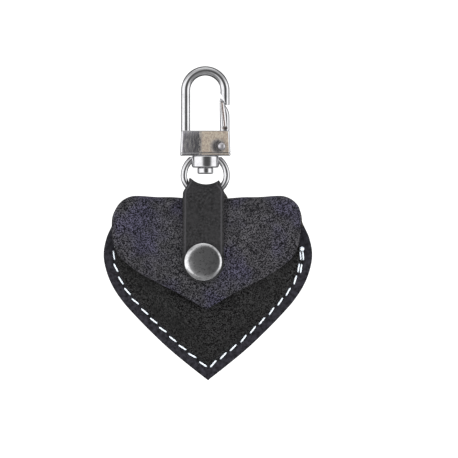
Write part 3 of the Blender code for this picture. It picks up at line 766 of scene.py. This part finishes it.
def block_finish():
    """Worn plating, brushed upright, coloured as a painted reflection: dark and shiny at the left and round
    the pin, warm beige and rougher between. Painted shade darkens lines along its top, in the groove at its
    foot and at its bottom."""
    f = Finish("brushed_chrome", at_rest=False, Metallic=1.0)
    streaks = f.noise(0.3, 4.0, 0.7, f.stretched(1.0, 1.0, 0.14))
    specks = f.noise(0.5, 3.0, 0.7, f.stretched(1.0, 1.0, 0.6))
    across, up = f.across_and_up()
    ragged = f.maths("MULTIPLY_ADD", streaks, 3.0, f.maths("ADD", across, -1.5))
    on_face = f.node("ShaderNodeCombineXYZ", {0: ragged, 2: up}).outputs[0]
    off_pin = f.rise(f.vectors("DISTANCE", on_face, (4.0, 0, -22.2)), 1.2, 3.0)
    # The worn part: rougher, and also where the warm painted reflection lies
    wear = f.maths("MULTIPLY", f.rise(ragged, -2.0, -0.8), f.maths("MULTIPLY_ADD", off_pin, 0.85, 0.15))
    wear = f.maths("MULTIPLY", wear, f.ramp(specks, (0.3, 0.7), (0.55, 1.0)))
    # Painted reflection: dark purple-grey where the plating shines, streaked by the brushing
    cool_reflection = f.fade(streaks, 0.35, 0.65, (0.5, 0.49, 0.56), (0.9, 0.88, 0.87))
    # Painted reflection: warm beige on the worn part
    warm_reflection = f.fade(specks, 0.35, 0.62, (0.75, 0.6, 0.47), (1.0, 0.93, 0.82))
    # Painted shade: dark lines along the top edge, in the groove at the foot and at the bottom
    level = f.rise(up, -25.0, -17.0, "LINEAR")
    foot = ((0.0, 0.3), (0.05, 0.8), (0.085, 0.8), (0.115, 0.25), (0.15, 1.0))
    grime_and_shade = f.ramp(level, *foot, (0.93, 1.0), (0.965, 0.25))
    shade = f.colours(1.0, f.colours(wear, cool_reflection, warm_reflection), grime_and_shade, "MULTIPLY")
    rough = f.maths("MULTIPLY_ADD", wear, 0.6, f.ramp(streaks, (0.35, 0.08), (0.65, 0.2)))
    return f.set(Base_Color=shade, Roughness=rough, Normal=f.bump(streaks, 0.012))


def steel_finish():
    """Plain steel, drawn in fine lines and a little stained."""
    f = Finish("plain_steel", at_rest=False, Metallic=1.0)
    lines = f.noise(0.12, 4.0, 0.7, f.stretched(1.0, 1.0, 0.3))
    colour = f.fade(f.noise(1.5, 3.0, 0.6), 0.35, 0.7, (0.5, 0.5, 0.51), (0.3, 0.295, 0.3))
    rough = f.ramp(lines, (0.3, 0.22), (0.7, 0.42))
    return f.set(Base_Color=colour, Roughness=rough, Normal=f.bump(lines, 0.006))


GRAIN = grain_leather(
    "grained_leather", (0.002, 0.002, 0.003), (0.063, 0.0612, 0.0665), sheen_tint=(1.0, 0.95, 1.45), pebble=0.44
)
BACK = grain_leather(
    "back_leather", (0.003, 0.003, 0.004), (0.046, 0.045, 0.048), sheen_tint=(1.0, 0.96, 1.25), pebble=0.6
)
FRONT = front_finish()
STRAP_LEATHER = strap_finish()
CUT_EDGE = cut_edge_finish()
FLESH = flesh_finish()
THREAD_WHITE = thread_finish()
CHROME = chrome_finish("polished_chrome", PLATING)
GATE_CHROME = gate_finish()
BRUSHED = block_finish()
CAP_CHROME = chrome_finish("worn_chrome", (0.9, 0.9, 0.92), (0.03, 0.12), 0.5, (0.54, 0.66))
STEEL = steel_finish()
PIN_STEEL = chrome_finish("pin_steel", (0.8, 0.78, 0.82), (0.38, 0.5))


# ---------- leather pieces ----------

COLUMNS = 96


def fold_row(angle):
    """A row across the fold's bend. The angle is 0 at the back, pi/2 on the crest and pi at the front."""
    depth = FOLD_RADIUS * (1 - math.sin(angle))
    y = FOLD_Y + FOLD_RADIUS * math.cos(angle)
    return [(POUCH_X + x, y, TOP_Z - depth - sag(x)) for x in places(corner_half(depth), 1.0, COLUMNS)]


def back_leather():
    """The back, from the point up to the crest of the fold."""
    rows = []
    for depth in np.linspace(TIP_DEPTH - 0.04, FOLD_RADIUS, 120)[:-1]:
        row = []
        for x in places(panel_half(depth), stretch_of(panel_half, depth), COLUMNS):
            y = FOLD_Y + FOLD_RADIUS - wobble(x, 0, depth, 9, 0.12) * smoothstep(depth, 3, 10)
            row.append((POUCH_X + x, y, laid_z(x, depth)))
        rows.append(row)
    rows += [fold_row(math.pi / 2 * t) for t in np.linspace(0, 1, 16)]
    back = slab("back_leather", rows, LEATHER, LEATHER_ROUNDING, BACK, open_rows=(-1,))
    ridden(back, "pouch", "back_panel")


def flap_leather():
    """The flap, from the crest of the fold over the front to its soft point."""
    rows = [fold_row(math.pi / 2 * (1 + t)) for t in np.linspace(0, 1, 16)[:-1]]
    for depth in np.linspace(FOLD_RADIUS, FLAP_TIP_DEPTH - 0.05, 90):
        shift = FLAP_SHIFT * smoothstep(depth, FOLD_RADIUS, 8)
        row = []
        for step in places(flap_half(depth), stretch_of(flap_half, depth), COLUMNS):
            x = shift + step
            y = flap_inner_y(x, depth) - LEATHER
            off_strap = smoothstep(abs(x + POUCH_X - STRAP_X), 6, 10)
            y -= wobble(x, 3, depth, 7, 0.16) * smoothstep(depth, 4, 9) * off_strap
            # The right corner has curled a little off the rim
            y -= 0.7 * bump(math.hypot(x - 27.2, (depth - 18.2) * 0.8), 0, 3.0)
            row.append((POUCH_X + x, y, laid_z(x, depth)))
        rows.append(row)
    flap = slab("flap_leather", rows, LEATHER, LEATHER_ROUNDING, GRAIN, open_rows=(0,))
    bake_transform(flap)
    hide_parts("flap")


STITCH_PITCH, THREAD_RADIUS, KNOT_RADIUS = 4.1, 0.26, 0.36
LEFT_TOP, RIGHT_TOP = 12.5, 12.9  # depths where the two rows of stitches begin


def seam_places(side, top):
    """(x, depth) of the needle holes from the point upwards, at even steps along the stitch line."""
    last = TIP_DEPTH - SEAM_INSET * math.hypot(1, TIP_SLOPE) / TIP_SLOPE + 0.1
    line = [Vector((0, last))]
    for depth in np.arange(last - 0.15, top, -0.15):
        line.append(Vector((side * max(0.0, inset_half(depth, SEAM_INSET)), depth)))
    holes, gone, due = [line[0]], 0.0, STITCH_PITCH
    for a, b in zip(line, line[1:]):
        step = (b - a).length
        while step and gone + step >= due:
            holes.append(a.lerp(b, (due - gone) / step))
            due += STITCH_PITCH
        gone += step
    return holes


def front_leather():
    """The front: a dome inside a sewn rim, open at the mouth, with a needle hole at each stitch."""
    holes = seam_places(-1, LEFT_TOP) + seam_places(1, RIGHT_TOP)
    holes = np.array([(h.x, h.y) for h in holes])
    rows, rims, hole_shade_rows = [], [], []
    for t in from_edge((0, 0.0015, 0.004, 0.008, 0.014), 0.9992, 120):
        row, rim, hole_shade_row = [], [], []
        widest = panel_half(MOUTH_SIDE)
        for u in places(widest, 1.0, 130):
            u /= widest
            mouth = MOUTH_SIDE + MOUTH_SCOOP * (1 - u * u)
            depth = mix(mouth, TIP_DEPTH, t)
            half = panel_half(depth)
            x = u * half
            inset = (half - abs(x)) / stretch_of(panel_half, depth)
            near = np.hypot(holes[:, 0] - x, holes[:, 1] - depth).min()
            groove = bump(inset, SEAM_INSET, 0.55) * smoothstep(depth, 10, 13)
            y = panel_y(x, depth) + 0.14 * groove + 0.3 * bump(near, 0, 0.42)
            y -= wobble(x, 9, depth, 6, 0.14) * smoothstep(inset, 3, 8) - wobble(x, 5, depth, 4, 0.06)
            row.append((POUCH_X + x, y, TOP_Z - depth))
            rim.append(1 - smoothstep(inset, SEAM_INSET - 0.1, SEAM_INSET + 1.0))
            # Where painted shade darkens each needle hole
            hole_shade_row.append(bump(near, 0, 0.36))
        rows.append(row)
        rims.append(rim)
        hole_shade_rows.append(hole_shade_row)
    front = slab("front_leather", rows, LEATHER, LEATHER_ROUNDING, FRONT, {"mark": rims, "hole": hole_shade_rows})
    ridden(front, "pouch", "front_panel")


def strap_places(half):
    return places(half, 1.0, 34)


# Where the painted highlight of the edge crease lies
def crease_highlights(half):
    return [bump(half - abs(x), 0.85, 0.2) * 0.9 for x in strap_places(half)]


def strap_loop():
    """The loop, from its riveted end up the back and round the ring."""
    outer_radius = LOOP_RADIUS + STRAP
    back_y = LOOP_Y + outer_radius
    faces, insides, marks = [], [], []

    def station(half_out, half_in, outer_line, inner_line):
        # The rear leg leans to the right above its rivet
        y, z = outer_line(0.0)
        lean = REAR_LEAN * smoothstep(y, LOOP_Y, back_y) * smoothstep(z, RIVET_Z + 1, LOOP_Z)
        lean = max(lean, CROWN_LEAN * smoothstep(z, LOOP_Z, -35.0))
        faces.append([(STRAP_X + lean + x, *outer_line(x)) for x in strap_places(half_out)])
        insides.append([(STRAP_X + lean + x, *inner_line(x)) for x in strap_places(half_in)])
        marks.append(crease_highlights(half_out))

    round_end = from_edge(ROUND_END_STEPS, 1, 12)
    leg = [(round_end_half(1 - t), STRAP_BACK_END + t * STRAP_HALF) for t in round_end]
    leg += [(STRAP_HALF, z) for z in np.linspace(STRAP_BACK_END + STRAP_HALF, LOOP_Z, 18)[1:-1]]
    for half, z in leg:
        station(half, half, lambda x: (back_y, z), lambda x: (back_y - STRAP, z))
    for angle in np.linspace(0, math.pi, 64):
        along, up = math.cos(angle), math.sin(angle)
        ramp = smoothstep(up, 0.1, 0.9)

        def line(radius):
            return lambda x: (LOOP_Y + radius * along, LOOP_Z + radius * up + ramp * ring_rise(x + STRAP_X))

        shoulder = LOOP_Z + LOOP_RADIUS * up - FRONT_SHOULDER * smoothstep(-along, -0.4, 0.4)
        half_out, half_in = strap_half(shoulder, RING_HALF_OUTSIDE), strap_half(shoulder, RING_HALF_INSIDE)
        station(half_out, half_in, line(outer_radius), line(LOOP_RADIUS))
    loop = slab("strap_loop", faces, STRAP, STRAP_ROUNDING, STRAP_LEATHER, {"mark": marks}, (-1,), insides)
    ridden(loop, "pouch", "strap_back")


def strap_tongue():
    """The tongue, down the flap and under the stud's cap."""
    front_y = LOOP_Y - (LOOP_RADIUS + STRAP)
    tip = SNAP_DEPTH + STRAP_HALF
    depths = list(np.linspace(TOP_Z - LOOP_Z, SNAP_DEPTH, 56))[:-1]
    depths += [tip - STRAP_HALF * t for t in reversed(from_edge(ROUND_END_STEPS, 1, 14))]
    rows, marks = [], []
    for depth in depths:
        half = round_end_half(max(0.0, depth - SNAP_DEPTH) / STRAP_HALF)
        laid = smoothstep(depth, TOP_Z - LOOP_Z, 3.2)
        row = []
        for x in strap_places(half):
            row.append((STRAP_X + x, mix(front_y, strap_inner_y(x, depth) - STRAP, laid), TOP_Z - depth))
        rows.append(row)
        marks.append(crease_highlights(half))
    tongue = slab("strap_tongue", rows, STRAP, STRAP_ROUNDING, STRAP_LEATHER, {"mark": marks}, (0,))
    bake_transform(tongue)
    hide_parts("strap_front")


# ---------- stitches ----------

def stitch(bm, mark, start, end, lift, sink, radius, seed):
    """One stitch of three-ply thread between two needle holes. lift is the height of its middle off the
    leather and sink that of its ends, both along Y."""
    length = (end - start).length
    direction = (end - start).normalized()
    side = direction.cross(Vector((0, 1, 0))).normalized()
    up = side.cross(direction)
    steps, sides = 22, 15
    rings = []
    for k in range(steps + 1):
        t = k / steps
        rise = 1 - (2 * t - 1) ** 6
        place = start.lerp(end, t)
        place.y += mix(sink, lift, rise)
        ring = []
        for s in range(sides):
            angle = 2 * math.pi * s / sides
            ply = 0.5 + 0.5 * math.cos(3 * (angle - 2.3 * t * length + seed))
            r = radius * (0.8 + 0.24 * ply) * mix(0.5, 1.0, rise)
            point = place + side * (r * math.cos(angle)) + up * (r * 0.85 * math.sin(angle))
            vert = bm.verts.new(point * MM)
            vert[mark] = ply
            ring.append(vert)
        rings.append(ring)
    skin(bm, rings)


def seam(name, surface_y, towards, cad_node, ends_here):
    """A row of stitches on a face of the pouch. Where the thread ends, the last stitches on the right are
    doubled under a knot."""
    bm = bmesh.new()
    mark = bm.verts.layers.float.new("mark")
    for side, top in ((-1, LEFT_TOP), (1, RIGHT_TOP)):
        holes = [Vector((POUCH_X + hole.x, surface_y, TOP_Z - hole.y)) for hole in seam_places(side, top)]
        finishing = ends_here and side > 0
        for k, (start, end) in enumerate(zip(holes, holes[1:])):
            along = (end - start).normalized()
            square = Vector((along.z, 0, -along.x))
            uneven = 0.12 * math.sin(2.1 * k + side)
            slant = square * (0.2 + uneven * 0.6)
            start, end = start + along * (0.6 + uneven) + slant, end - along * (0.6 - uneven) - slant
            doubled = finishing and k >= len(holes) - 3
            for shift in (-0.4, 0.4) if doubled else (0.0,):
                a, b = start + square * shift, end + square * shift
                stitch(bm, mark, a, b, towards * 0.22, -towards * 0.3, THREAD_RADIUS, k + shift)
        for angle in (0.4, 1.5, 2.6) if finishing else ():
            reach = Vector((math.cos(angle), 0, math.sin(angle))) * 0.75
            stitch(bm, mark, holes[-1] - reach, holes[-1] + reach, towards * 0.55, 0.0, KNOT_RADIUS, angle)
    bmesh.ops.recalc_face_normals(bm, faces=bm.faces)
    ridden(smooth(new_object(name, bm, (THREAD_WHITE,)), 60), "pouch", cad_node)


# ---------- press stud and rivet ----------

def dome_profile(radius, height, seat, steps=30):
    """A cap's outer side from its top to its rim: nearly flat, then ever steeper to an upright edge."""
    tilts = [(0.0, 0.0), (0.68, 4.5), (0.8, 11.0), (0.9, 23.0), (0.96, 42.0), (1.0, 82.0)]
    out, z = [(0.0, 0.0)], 0.0
    for k in range(1, steps + 1):
        r = math.sin(math.pi / 2 * k / steps)
        z -= math.tan(math.radians(spline(tilts, (r + out[-1][0]) / 2))) * (r - out[-1][0])
        out.append((r, z))
    return [(r * radius, seat + height * (1 - z / out[-1][1])) for r, z in out]


def press_stud():
    """The cap with its post, the socket behind it and the stud on the front panel."""
    at = (STRAP_X, 0, SNAP_Z)
    seat, tail = -CAP_LOW.y - 1.45, -CAP_HIGH.y
    cap = dome_profile(6.0, 1.33, seat + 0.12)
    cap += [(5.96, seat + 0.03), (5.8, seat), (1.5, seat)]
    cap += [(1.5, tail + 0.3), (2.0, tail + 0.15), (2.0, tail), (0, tail)]
    ridden(turned("snap_button", cap, at, TO_FRONT, (CAP_CHROME,), 128), "flap", "snap_cap")

    face = -box_mm("snap_socket")[1].y + 2.1
    socket = [  # radius, distance behind the face
        (1.8, 0), (4.9, 0), (5.1, 0.3), (4.6, 0.7), (4.1, 1.6), (3.9, 2.1), (2.4, 2.1), (2.4, 1.8),
        (3.2, 1.7), (3.2, 1.0), (2.4, 0.9), (2.4, 0.45), (1.8, 0.45),
    ]
    socket = [(r, face - behind) for r, behind in socket]
    socket = rounded(socket, {1: 0.12, 2: 0.2, 3: 0.3, 5: 0.15, 6: 0.12, 8: 0.2, 9: 0.15}, 4)
    ridden(turned("snap_female", socket, at, TO_FRONT, (CHROME,), 72), "flap", "snap_socket")

    foot = -box_mm("snap_stud")[1].y
    stud = [  # radius, height over the foot
        (1.3, 1.5), (1.6, 1.6), (1.85, 1.4), (1.85, 1.1), (1.65, 0.7), (1.7, 0.4), (4.6, 0.4), (4.8, 0.2),
        (4.8, 0), (1.3, 0),
    ]
    stud = [(r, foot + height) for r, height in stud]
    stud = rounded(stud, {1: 0.1, 2: 0.12, 3: 0.12, 4: 0.15, 5: 0.1, 6: 0.12, 7: 0.08}, 4)
    ridden(turned("snap_male", stud, at, TO_FRONT, (CHROME,), 72), "pouch", "snap_stud")


def rear_rivet():
    """The domed cap at the strap's back end."""
    inside, face = RIVET_LOW.y, RIVET_HIGH.y - 1.2
    profile = dome_profile(3.9, 1.12, face + 0.08, 18)
    profile += [(3.86, face + 0.02), (3.75, face), (1.5, face), (1.5, inside)]
    profile += [(1.0, inside), (1.0, face + 0.4), (0, face + 0.4)]
    rivet = turned("rear_rivet", profile, (STRAP_X, 0, RIVET_Z), TO_BACK, (CHROME,), 96)
    ridden(rivet, "pouch", "rear_rivet_cap")


# ---------- clasp ----------

def block_ring(z, inset):
    """Points round the block at a height: round corners, with a front and a back that swell in the middle."""
    half = mix(BLOCK_TOP_HALF, BLOCK_HIGH.x, (BLOCK_TOP - z) / (BLOCK_TOP - BLOCK_BOTTOM)) - inset
    flat = half - BLOCK_CORNER
    side_y = BLOCK_HIGH.y - BLOCK_SWELL - inset
    ring = []
    for turn, (sign_x, sign_y) in enumerate(((1, 1), (-1, 1), (-1, -1), (1, -1))):
        for k in range(9):
            a = math.pi / 2 * (turn + k / 8)
            y = sign_y * (side_y - BLOCK_CORNER) + BLOCK_CORNER * math.sin(a)
            ring.append((sign_x * flat + BLOCK_CORNER * math.cos(a), y, z))
        if sign_x == sign_y:
            for x in np.linspace(flat, -flat, 22)[1:-1] * sign_x:
                ring.append((x, sign_y * (side_y + BLOCK_SWELL * (1 - (x / flat) ** 2)), z))
    return ring


def block_body():
    """The block, a little wider at its foot, with a lip there."""
    levels = [  # height, inset
        (BLOCK_TOP, 0.22), (BLOCK_TOP - 0.06, 0.08), (BLOCK_TOP - 0.2, 0.0), (BLOCK_TOP - 2.5, 0.0),
        (-22.0, 0.0), (-23.95, 0.0), (-24.05, 0.1), (-24.15, 0.12), (-24.25, 0.02), (-24.4, -0.03),
        (-24.75, -0.02), (BLOCK_BOTTOM + 0.08, 0.1), (BLOCK_BOTTOM, 0.28),
    ]
    return lofted("hook_body", [block_ring(z, inset) for z, inset in levels])


def hook():
    """A bent bar on a block, slotted for the gate and drilled for its pin and for the swivel."""
    arm = (HOOK_INSIDE + HOOK_WIRE) / 2
    crown_z = -HOOK_INSIDE / 2
    path = [(-arm, 0, z) for z in np.linspace(BLOCK_TOP - 1.0, crown_z, 12)]
    path += [(arm * math.cos(a), 0, crown_z + arm * math.sin(a)) for a in np.linspace(math.pi, 0, 49)[1:]]
    path += [(arm, 0, z) for z in (-5.8, -7.0, -8.2, -9.1)]
    bow = tube("hook_bow", path, HOOK_WIRE / 2, (), 40)
    wedge = prism("nose_cutter", [(3.4, -4.4), (4.15, -4.4), (6.15, -8.3), (6.35, -9.5), (3.4, -9.5)], -3, 3)
    combine(bow, [wedge])

    block = combine(block_body(), [bow], "UNION")
    slot = [(SLOT_X, SLOT_FLOOR), (9, SLOT_FLOOR), (9, BLOCK_TOP + 1), (SLOT_X, BLOCK_TOP + 1)]
    cutters = [
        prism("slot_cutter", slot, -GATE_DEPTH / 2 - 0.2, GATE_DEPTH / 2 + 0.2),
        bored("pivot_cutter", PIN_HOLE, (PIVOT_X, 0, PIVOT_Z), 8),
        bored("swivel_cutter", SWIVEL_HOLE, (0, 0, -24.9), 6, "Z"),
        bored("recess_front", 1.5, (PIVOT_X, -3.1, PIVOT_Z), 1.2),
        bored("recess_back", 1.5, (PIVOT_X, 3.1, PIVOT_Z), 1.2),
    ]
    combine(block, cutters)
    coat(block, CHROME, BRUSHED)
    for face in block.data.polygons:
        face.material_index = int(abs(face.normal.y) > 0.9 and face.center.z / MM < BLOCK_TOP - 0.2)
    settle(bevelled(block, 0.08, 2, 40))
    ridden(smooth(block, 32), "hook", "hook_frame")


def gate_stem():
    """The lever's upper part: two rounded strips with a groove between them, and a small step at the foot."""
    right_edge = [  # height, x
        (-18.2, 7.62), (-12.4, 7.6), (-11.2, 7.35), (-10.2, 6.95), (-9.5, 6.45), (-8.8, 6.2), (-8.0, 5.85),
        (-7.3, 5.25), (-6.97, 4.85),
    ]
    rings = []
    for z in [*np.linspace(-18.2, -17.2, 4), *np.linspace(-17.0, -7.3, 60), -7.15, -7.05, -6.98]:
        left = mix(4.5, 4.42, smoothstep(z, -17, -9)) + 0.35 * smoothstep(z, -7.6, -6.9)
        right = max(left + 0.05, spline(right_edge, z))
        groove_x = GROOVE_X + GROOVE_SLOPE * (z - GROOVE_Z)
        groove = 0.3 * smoothstep(z, -16.0, -15.7) * (1 - smoothstep(z, -8.6, -7.6))
        step = 0.12 * bump(z, STEP_Z, 0.45)
        thinner = 1 - smoothstep(z, -7.9, -6.8) * 0.5
        front = []
        for k in range(73):
            t = -math.cos(math.pi * k / 72)
            x = mix(left, right, (t + 1) / 2)
            tall = GATE_DEPTH / 2 * (1 - abs(t) ** 2.6) ** 0.5 * thinner
            front.append((x, -tall * (1 - groove * bump(x, groove_x, 0.42) - step), z))
        rings.append(front + [(x, -y, z) for x, y, z in reversed(front[1:-1])])
    return lofted("gate_stem", rings)


def gate():
    """The sprung lever: a grooved stem on a heel that turns on the pin."""
    heel = [
        (7.62, -17.6), (7.65, -19.0), (7.75, -22.3), (7.45, -23.2), (6.8, -23.8), (5.6, -24.0), (4.6, -23.85),
        (4.1, -23.4), (3.9, -21.2), (2.6, -21.2), (2.6, -20.0), (4.0, -18.9), (4.5, -18.1), (4.5, -17.6),
    ]
    lever = settle(bevelled(prism("gate_lever", heel, -GATE_DEPTH / 2, GATE_DEPTH / 2), 0.25, 3, 25))
    combine(lever, [gate_stem()], "UNION")
    combine(lever, [bored("gate_cutter", PIN_HOLE, (PIVOT_X, 0, PIVOT_Z), 5)])
    coat(lever, GATE_CHROME)
    ridden(smooth(lever, 32), "gate", "gate")


def gate_pin():
    """The rivet that the lever turns on, domed in front."""
    profile = [
        (0, 3.2), (0.45, 3.16), (0.85, 3.02), (1.1, 2.8), (1.13, 2.6), (0.9, 2.6), (0.9, -2.6), (1.3, -2.6),
        (1.3, -2.75), (1.1, -2.8), (0, -2.8),
    ]
    pin = turned("gate_rivet", profile, (PIVOT_X, 0, PIVOT_Z), TO_FRONT, (PIN_STEEL,), 48)
    ridden(pin, "hook", "gate_pin")


def gate_spring():
    """The coil under the lever's toe."""
    low, high = box_mm("gate_spring")
    wire, turns, centre_x = 0.14, 4.5, (low.x + high.x) / 2
    radius = (high.x - low.x) / 2 - wire
    points = []
    for t in np.linspace(0, 1, 109):
        angle = 2 * math.pi * turns * t
        z = mix(low.z + wire, high.z - wire, t)
        points.append((centre_x + radius * math.cos(angle), radius * math.sin(angle), z))
    coil = tube("gate_coil", points, wire, (STEEL,), 10)
    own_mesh(coil)
    ridden(coil, "hook", "gate_spring")


def eye():
    """The swivel eye: a thick boss on a ring."""
    points = []
    for angle in np.linspace(0, 2 * math.pi, 97)[:-1]:
        tall = RING_ABOVE if math.sin(angle) > 0 else RING_BELOW
        points.append((RING_ACROSS * math.cos(angle), 0, RING_CENTRE_Z + tall * math.sin(angle)))
    ring = tube("eye_ring", points, RING_WIRE / 2, (), 28, cyclic=True)
    cut = [(-10, BOSS_TOP - 0.1), (10, BOSS_TOP - 0.1), (10, BOSS_TOP + 4), (-10, BOSS_TOP + 4)]
    combine(ring, [prism("ring_top_cutter", cut, -4, 4)])
    top = BLOCK_BOTTOM - 0.06
    profile = rounded([(0, top), (4.3, top), (4.3, BOSS_BOTTOM), (0, BOSS_BOTTOM)], {1: 0.45, 2: 0.6})
    boss = turned("swivel_ring", profile, (0, 0, 0), Matrix.Diagonal((1, 0.8, 1, 1)), (), 96)
    combine(boss, [ring], "UNION")
    combine(boss, [bored("boss_cutter", SWIVEL_HOLE, (0, 0, BOSS_BOTTOM), 12, "Z")])
    coat(boss, CHROME)
    ridden(smooth(boss, 32), "eye", "swivel_eye")


def swivel_pin():
    """The rivet through the boss, whose head shows inside the ring."""
    profile = [
        (0, -22.2), (1.0, -22.2), (1.0, -28.8), (2.45, -28.8), (2.6, -29.0), (2.6, -30.4), (2.35, -30.7),
        (0, -30.7),
    ]
    profile = rounded(profile, {3: 0.12, 4: 0.1, 5: 0.25, 6: 0.3})
    pin = turned("swivel_rivet", profile, (0, 0, 0), Matrix.Identity(4), (CHROME,), 72)
    ridden(pin, "hook", "swivel_pin")


# ---------- studio ----------

VIEW_X, VIEW_Z = 7.4, -47.9  # middle of the view
VIEW_WIDTH, DISTANCE = 143.1, 1200.0
SENSOR = 36


def backdrop():
    """A pale floor, lit from within, that sweeps up into a round wall. Every view is taken from inside it."""
    floor_z, flat, sweep = -170.0, 2600.0, 800.0
    line = [(r, floor_z) for r in (100, 400, 1200, flat)]
    for a in np.linspace(0, math.pi / 2, 17)[1:]:
        line.append((flat + sweep * math.sin(a), floor_z + sweep - sweep * math.cos(a)))
    line += [(flat + sweep, 2400.0), (flat + sweep, 4600.0)]
    around = np.linspace(0, 2 * math.pi, 97)[:-1]
    bm = bmesh.new()
    rings = []
    for r, z in line:
        rings.append([bm.verts.new(Vector((r * math.cos(a), r * math.sin(a), z)) * MM) for a in around])
    bm.faces.new(rings[0])
    skin(bm, rings, ends=False)
    f = Finish("pale_floor", at_rest=False, Specular_IOR_Level=0.1, Roughness=0.9)
    paper = f.ramp(f.noise(60.0, 3.0, 0.5), (0.3, 0.25), (0.7, 0.28))
    f.set(Base_Color=paper, Emission_Color=(1, 1, 1, 1), Emission_Strength=0.95)
    floor = smooth(new_object("pale_floor", bm, (f.material,)))
    floor.visible_glossy = floor.visible_shadow = False


def area_light(name, place, towards, size, power):
    """A soft light that the chrome doesn't mirror."""
    data = bpy.data.lights.new(name, "AREA")
    data.shape = "RECTANGLE"
    data.size, data.size_y = size
    data.energy = power
    light = bpy.data.objects.new(name, data)
    bpy.context.scene.collection.objects.link(light)
    light.location = Vector(place) * MM
    light.visible_glossy = False
    light.rotation_euler = (Vector(towards) * MM - light.location).to_track_quat("-Z", "Y").to_euler()


def studio():
    """A tent of light for the chrome to mirror: white at the sides, dark round the camera and duller above
    and below, with a dark band further back that outlines the metal."""
    world = bpy.data.worlds.new("light_tent")
    world.use_nodes = True
    bpy.context.scene.world = world
    tent = Nodes(world.node_tree)
    direction = tent.node("ShaderNodeTexCoord").outputs["Generated"]

    def shade(axis, *stops):
        """Greys along an axis, from 0 at the end it points away from to 1 at the end it points to."""
        along = tent.vectors("DOT_PRODUCT", direction, Vector(axis).normalized())
        return tent.ramp(tent.rise(along, -1, 1, "LINEAR"), *stops)

    ahead = shade((-0.21, 0.97, -0.08), (0.0, 0.07), (0.02, 0.085), (0.05, 0.25), (0.09, 0.8), (0.14, 1.0))
    band = ((0.46, 1.0), (0.54, 0.45), (0.61, 0.07), (0.79, 0.08), (0.86, 0.7))
    behind = shade((0, 1, 0), (0.0, 1.0), *band, (0.95, 0.9), (1.0, 0.15))
    below, above = ((0.0, 0.3), (0.12, 0.22), (0.25, 0.25)), ((0.78, 0.48), (0.88, 0.4), (1.0, 0.75))
    height = shade((0, 0, 1), *below, (0.4, 1.0), (0.62, 1.0), *above)
    shader = tent.tree.nodes["Background"]
    all_round = tent.colours(1.0, ahead, behind, "MULTIPLY")
    tent.put(shader.inputs["Color"], tent.colours(1.0, all_round, height, "MULTIPLY"))
    tent.put(shader.inputs["Strength"], 1.2)

    middle = (VIEW_X, 0, VIEW_Z)
    area_light("key_softbox", (-500, -500, 500), middle, (0.5, 0.5), 6.0)
    area_light("right_softbox", (560, -500, 60), middle, (0.4, 0.5), 4.4)


def camera():
    data = bpy.data.cameras.new("camera")
    data.sensor_width = SENSOR
    data.lens = SENSOR * DISTANCE / VIEW_WIDTH
    data.clip_start, data.clip_end = 0.05, 10
    obj = bpy.data.objects.new("camera", data)
    bpy.context.scene.collection.objects.link(obj)
    obj.location = (VIEW_X * MM, -DISTANCE * MM, VIEW_Z * MM)
    obj.rotation_euler = (math.pi / 2, 0, 0)
    bpy.context.scene.camera = obj
    bpy.context.scene.view_settings.view_transform = "Standard"


back_leather()
flap_leather()
front_leather()
strap_loop()
strap_tongue()
seam("front_stitches", FLANGE_Y, -1, "needle_thread", True)
seam("back_stitches", FOLD_Y + FOLD_RADIUS, 1, "bobbin_thread", False)
press_stud()
rear_rivet()
hook()
gate()
gate_pin()
gate_spring()
eye()
swivel_pin()
for node, finish in (("snap_spring", STEEL), ("snap_post", CHROME), ("rear_rivet_post", STEEL)):
    coat(frame["nodes"][node], finish)

backdrop()
studio()
camera()
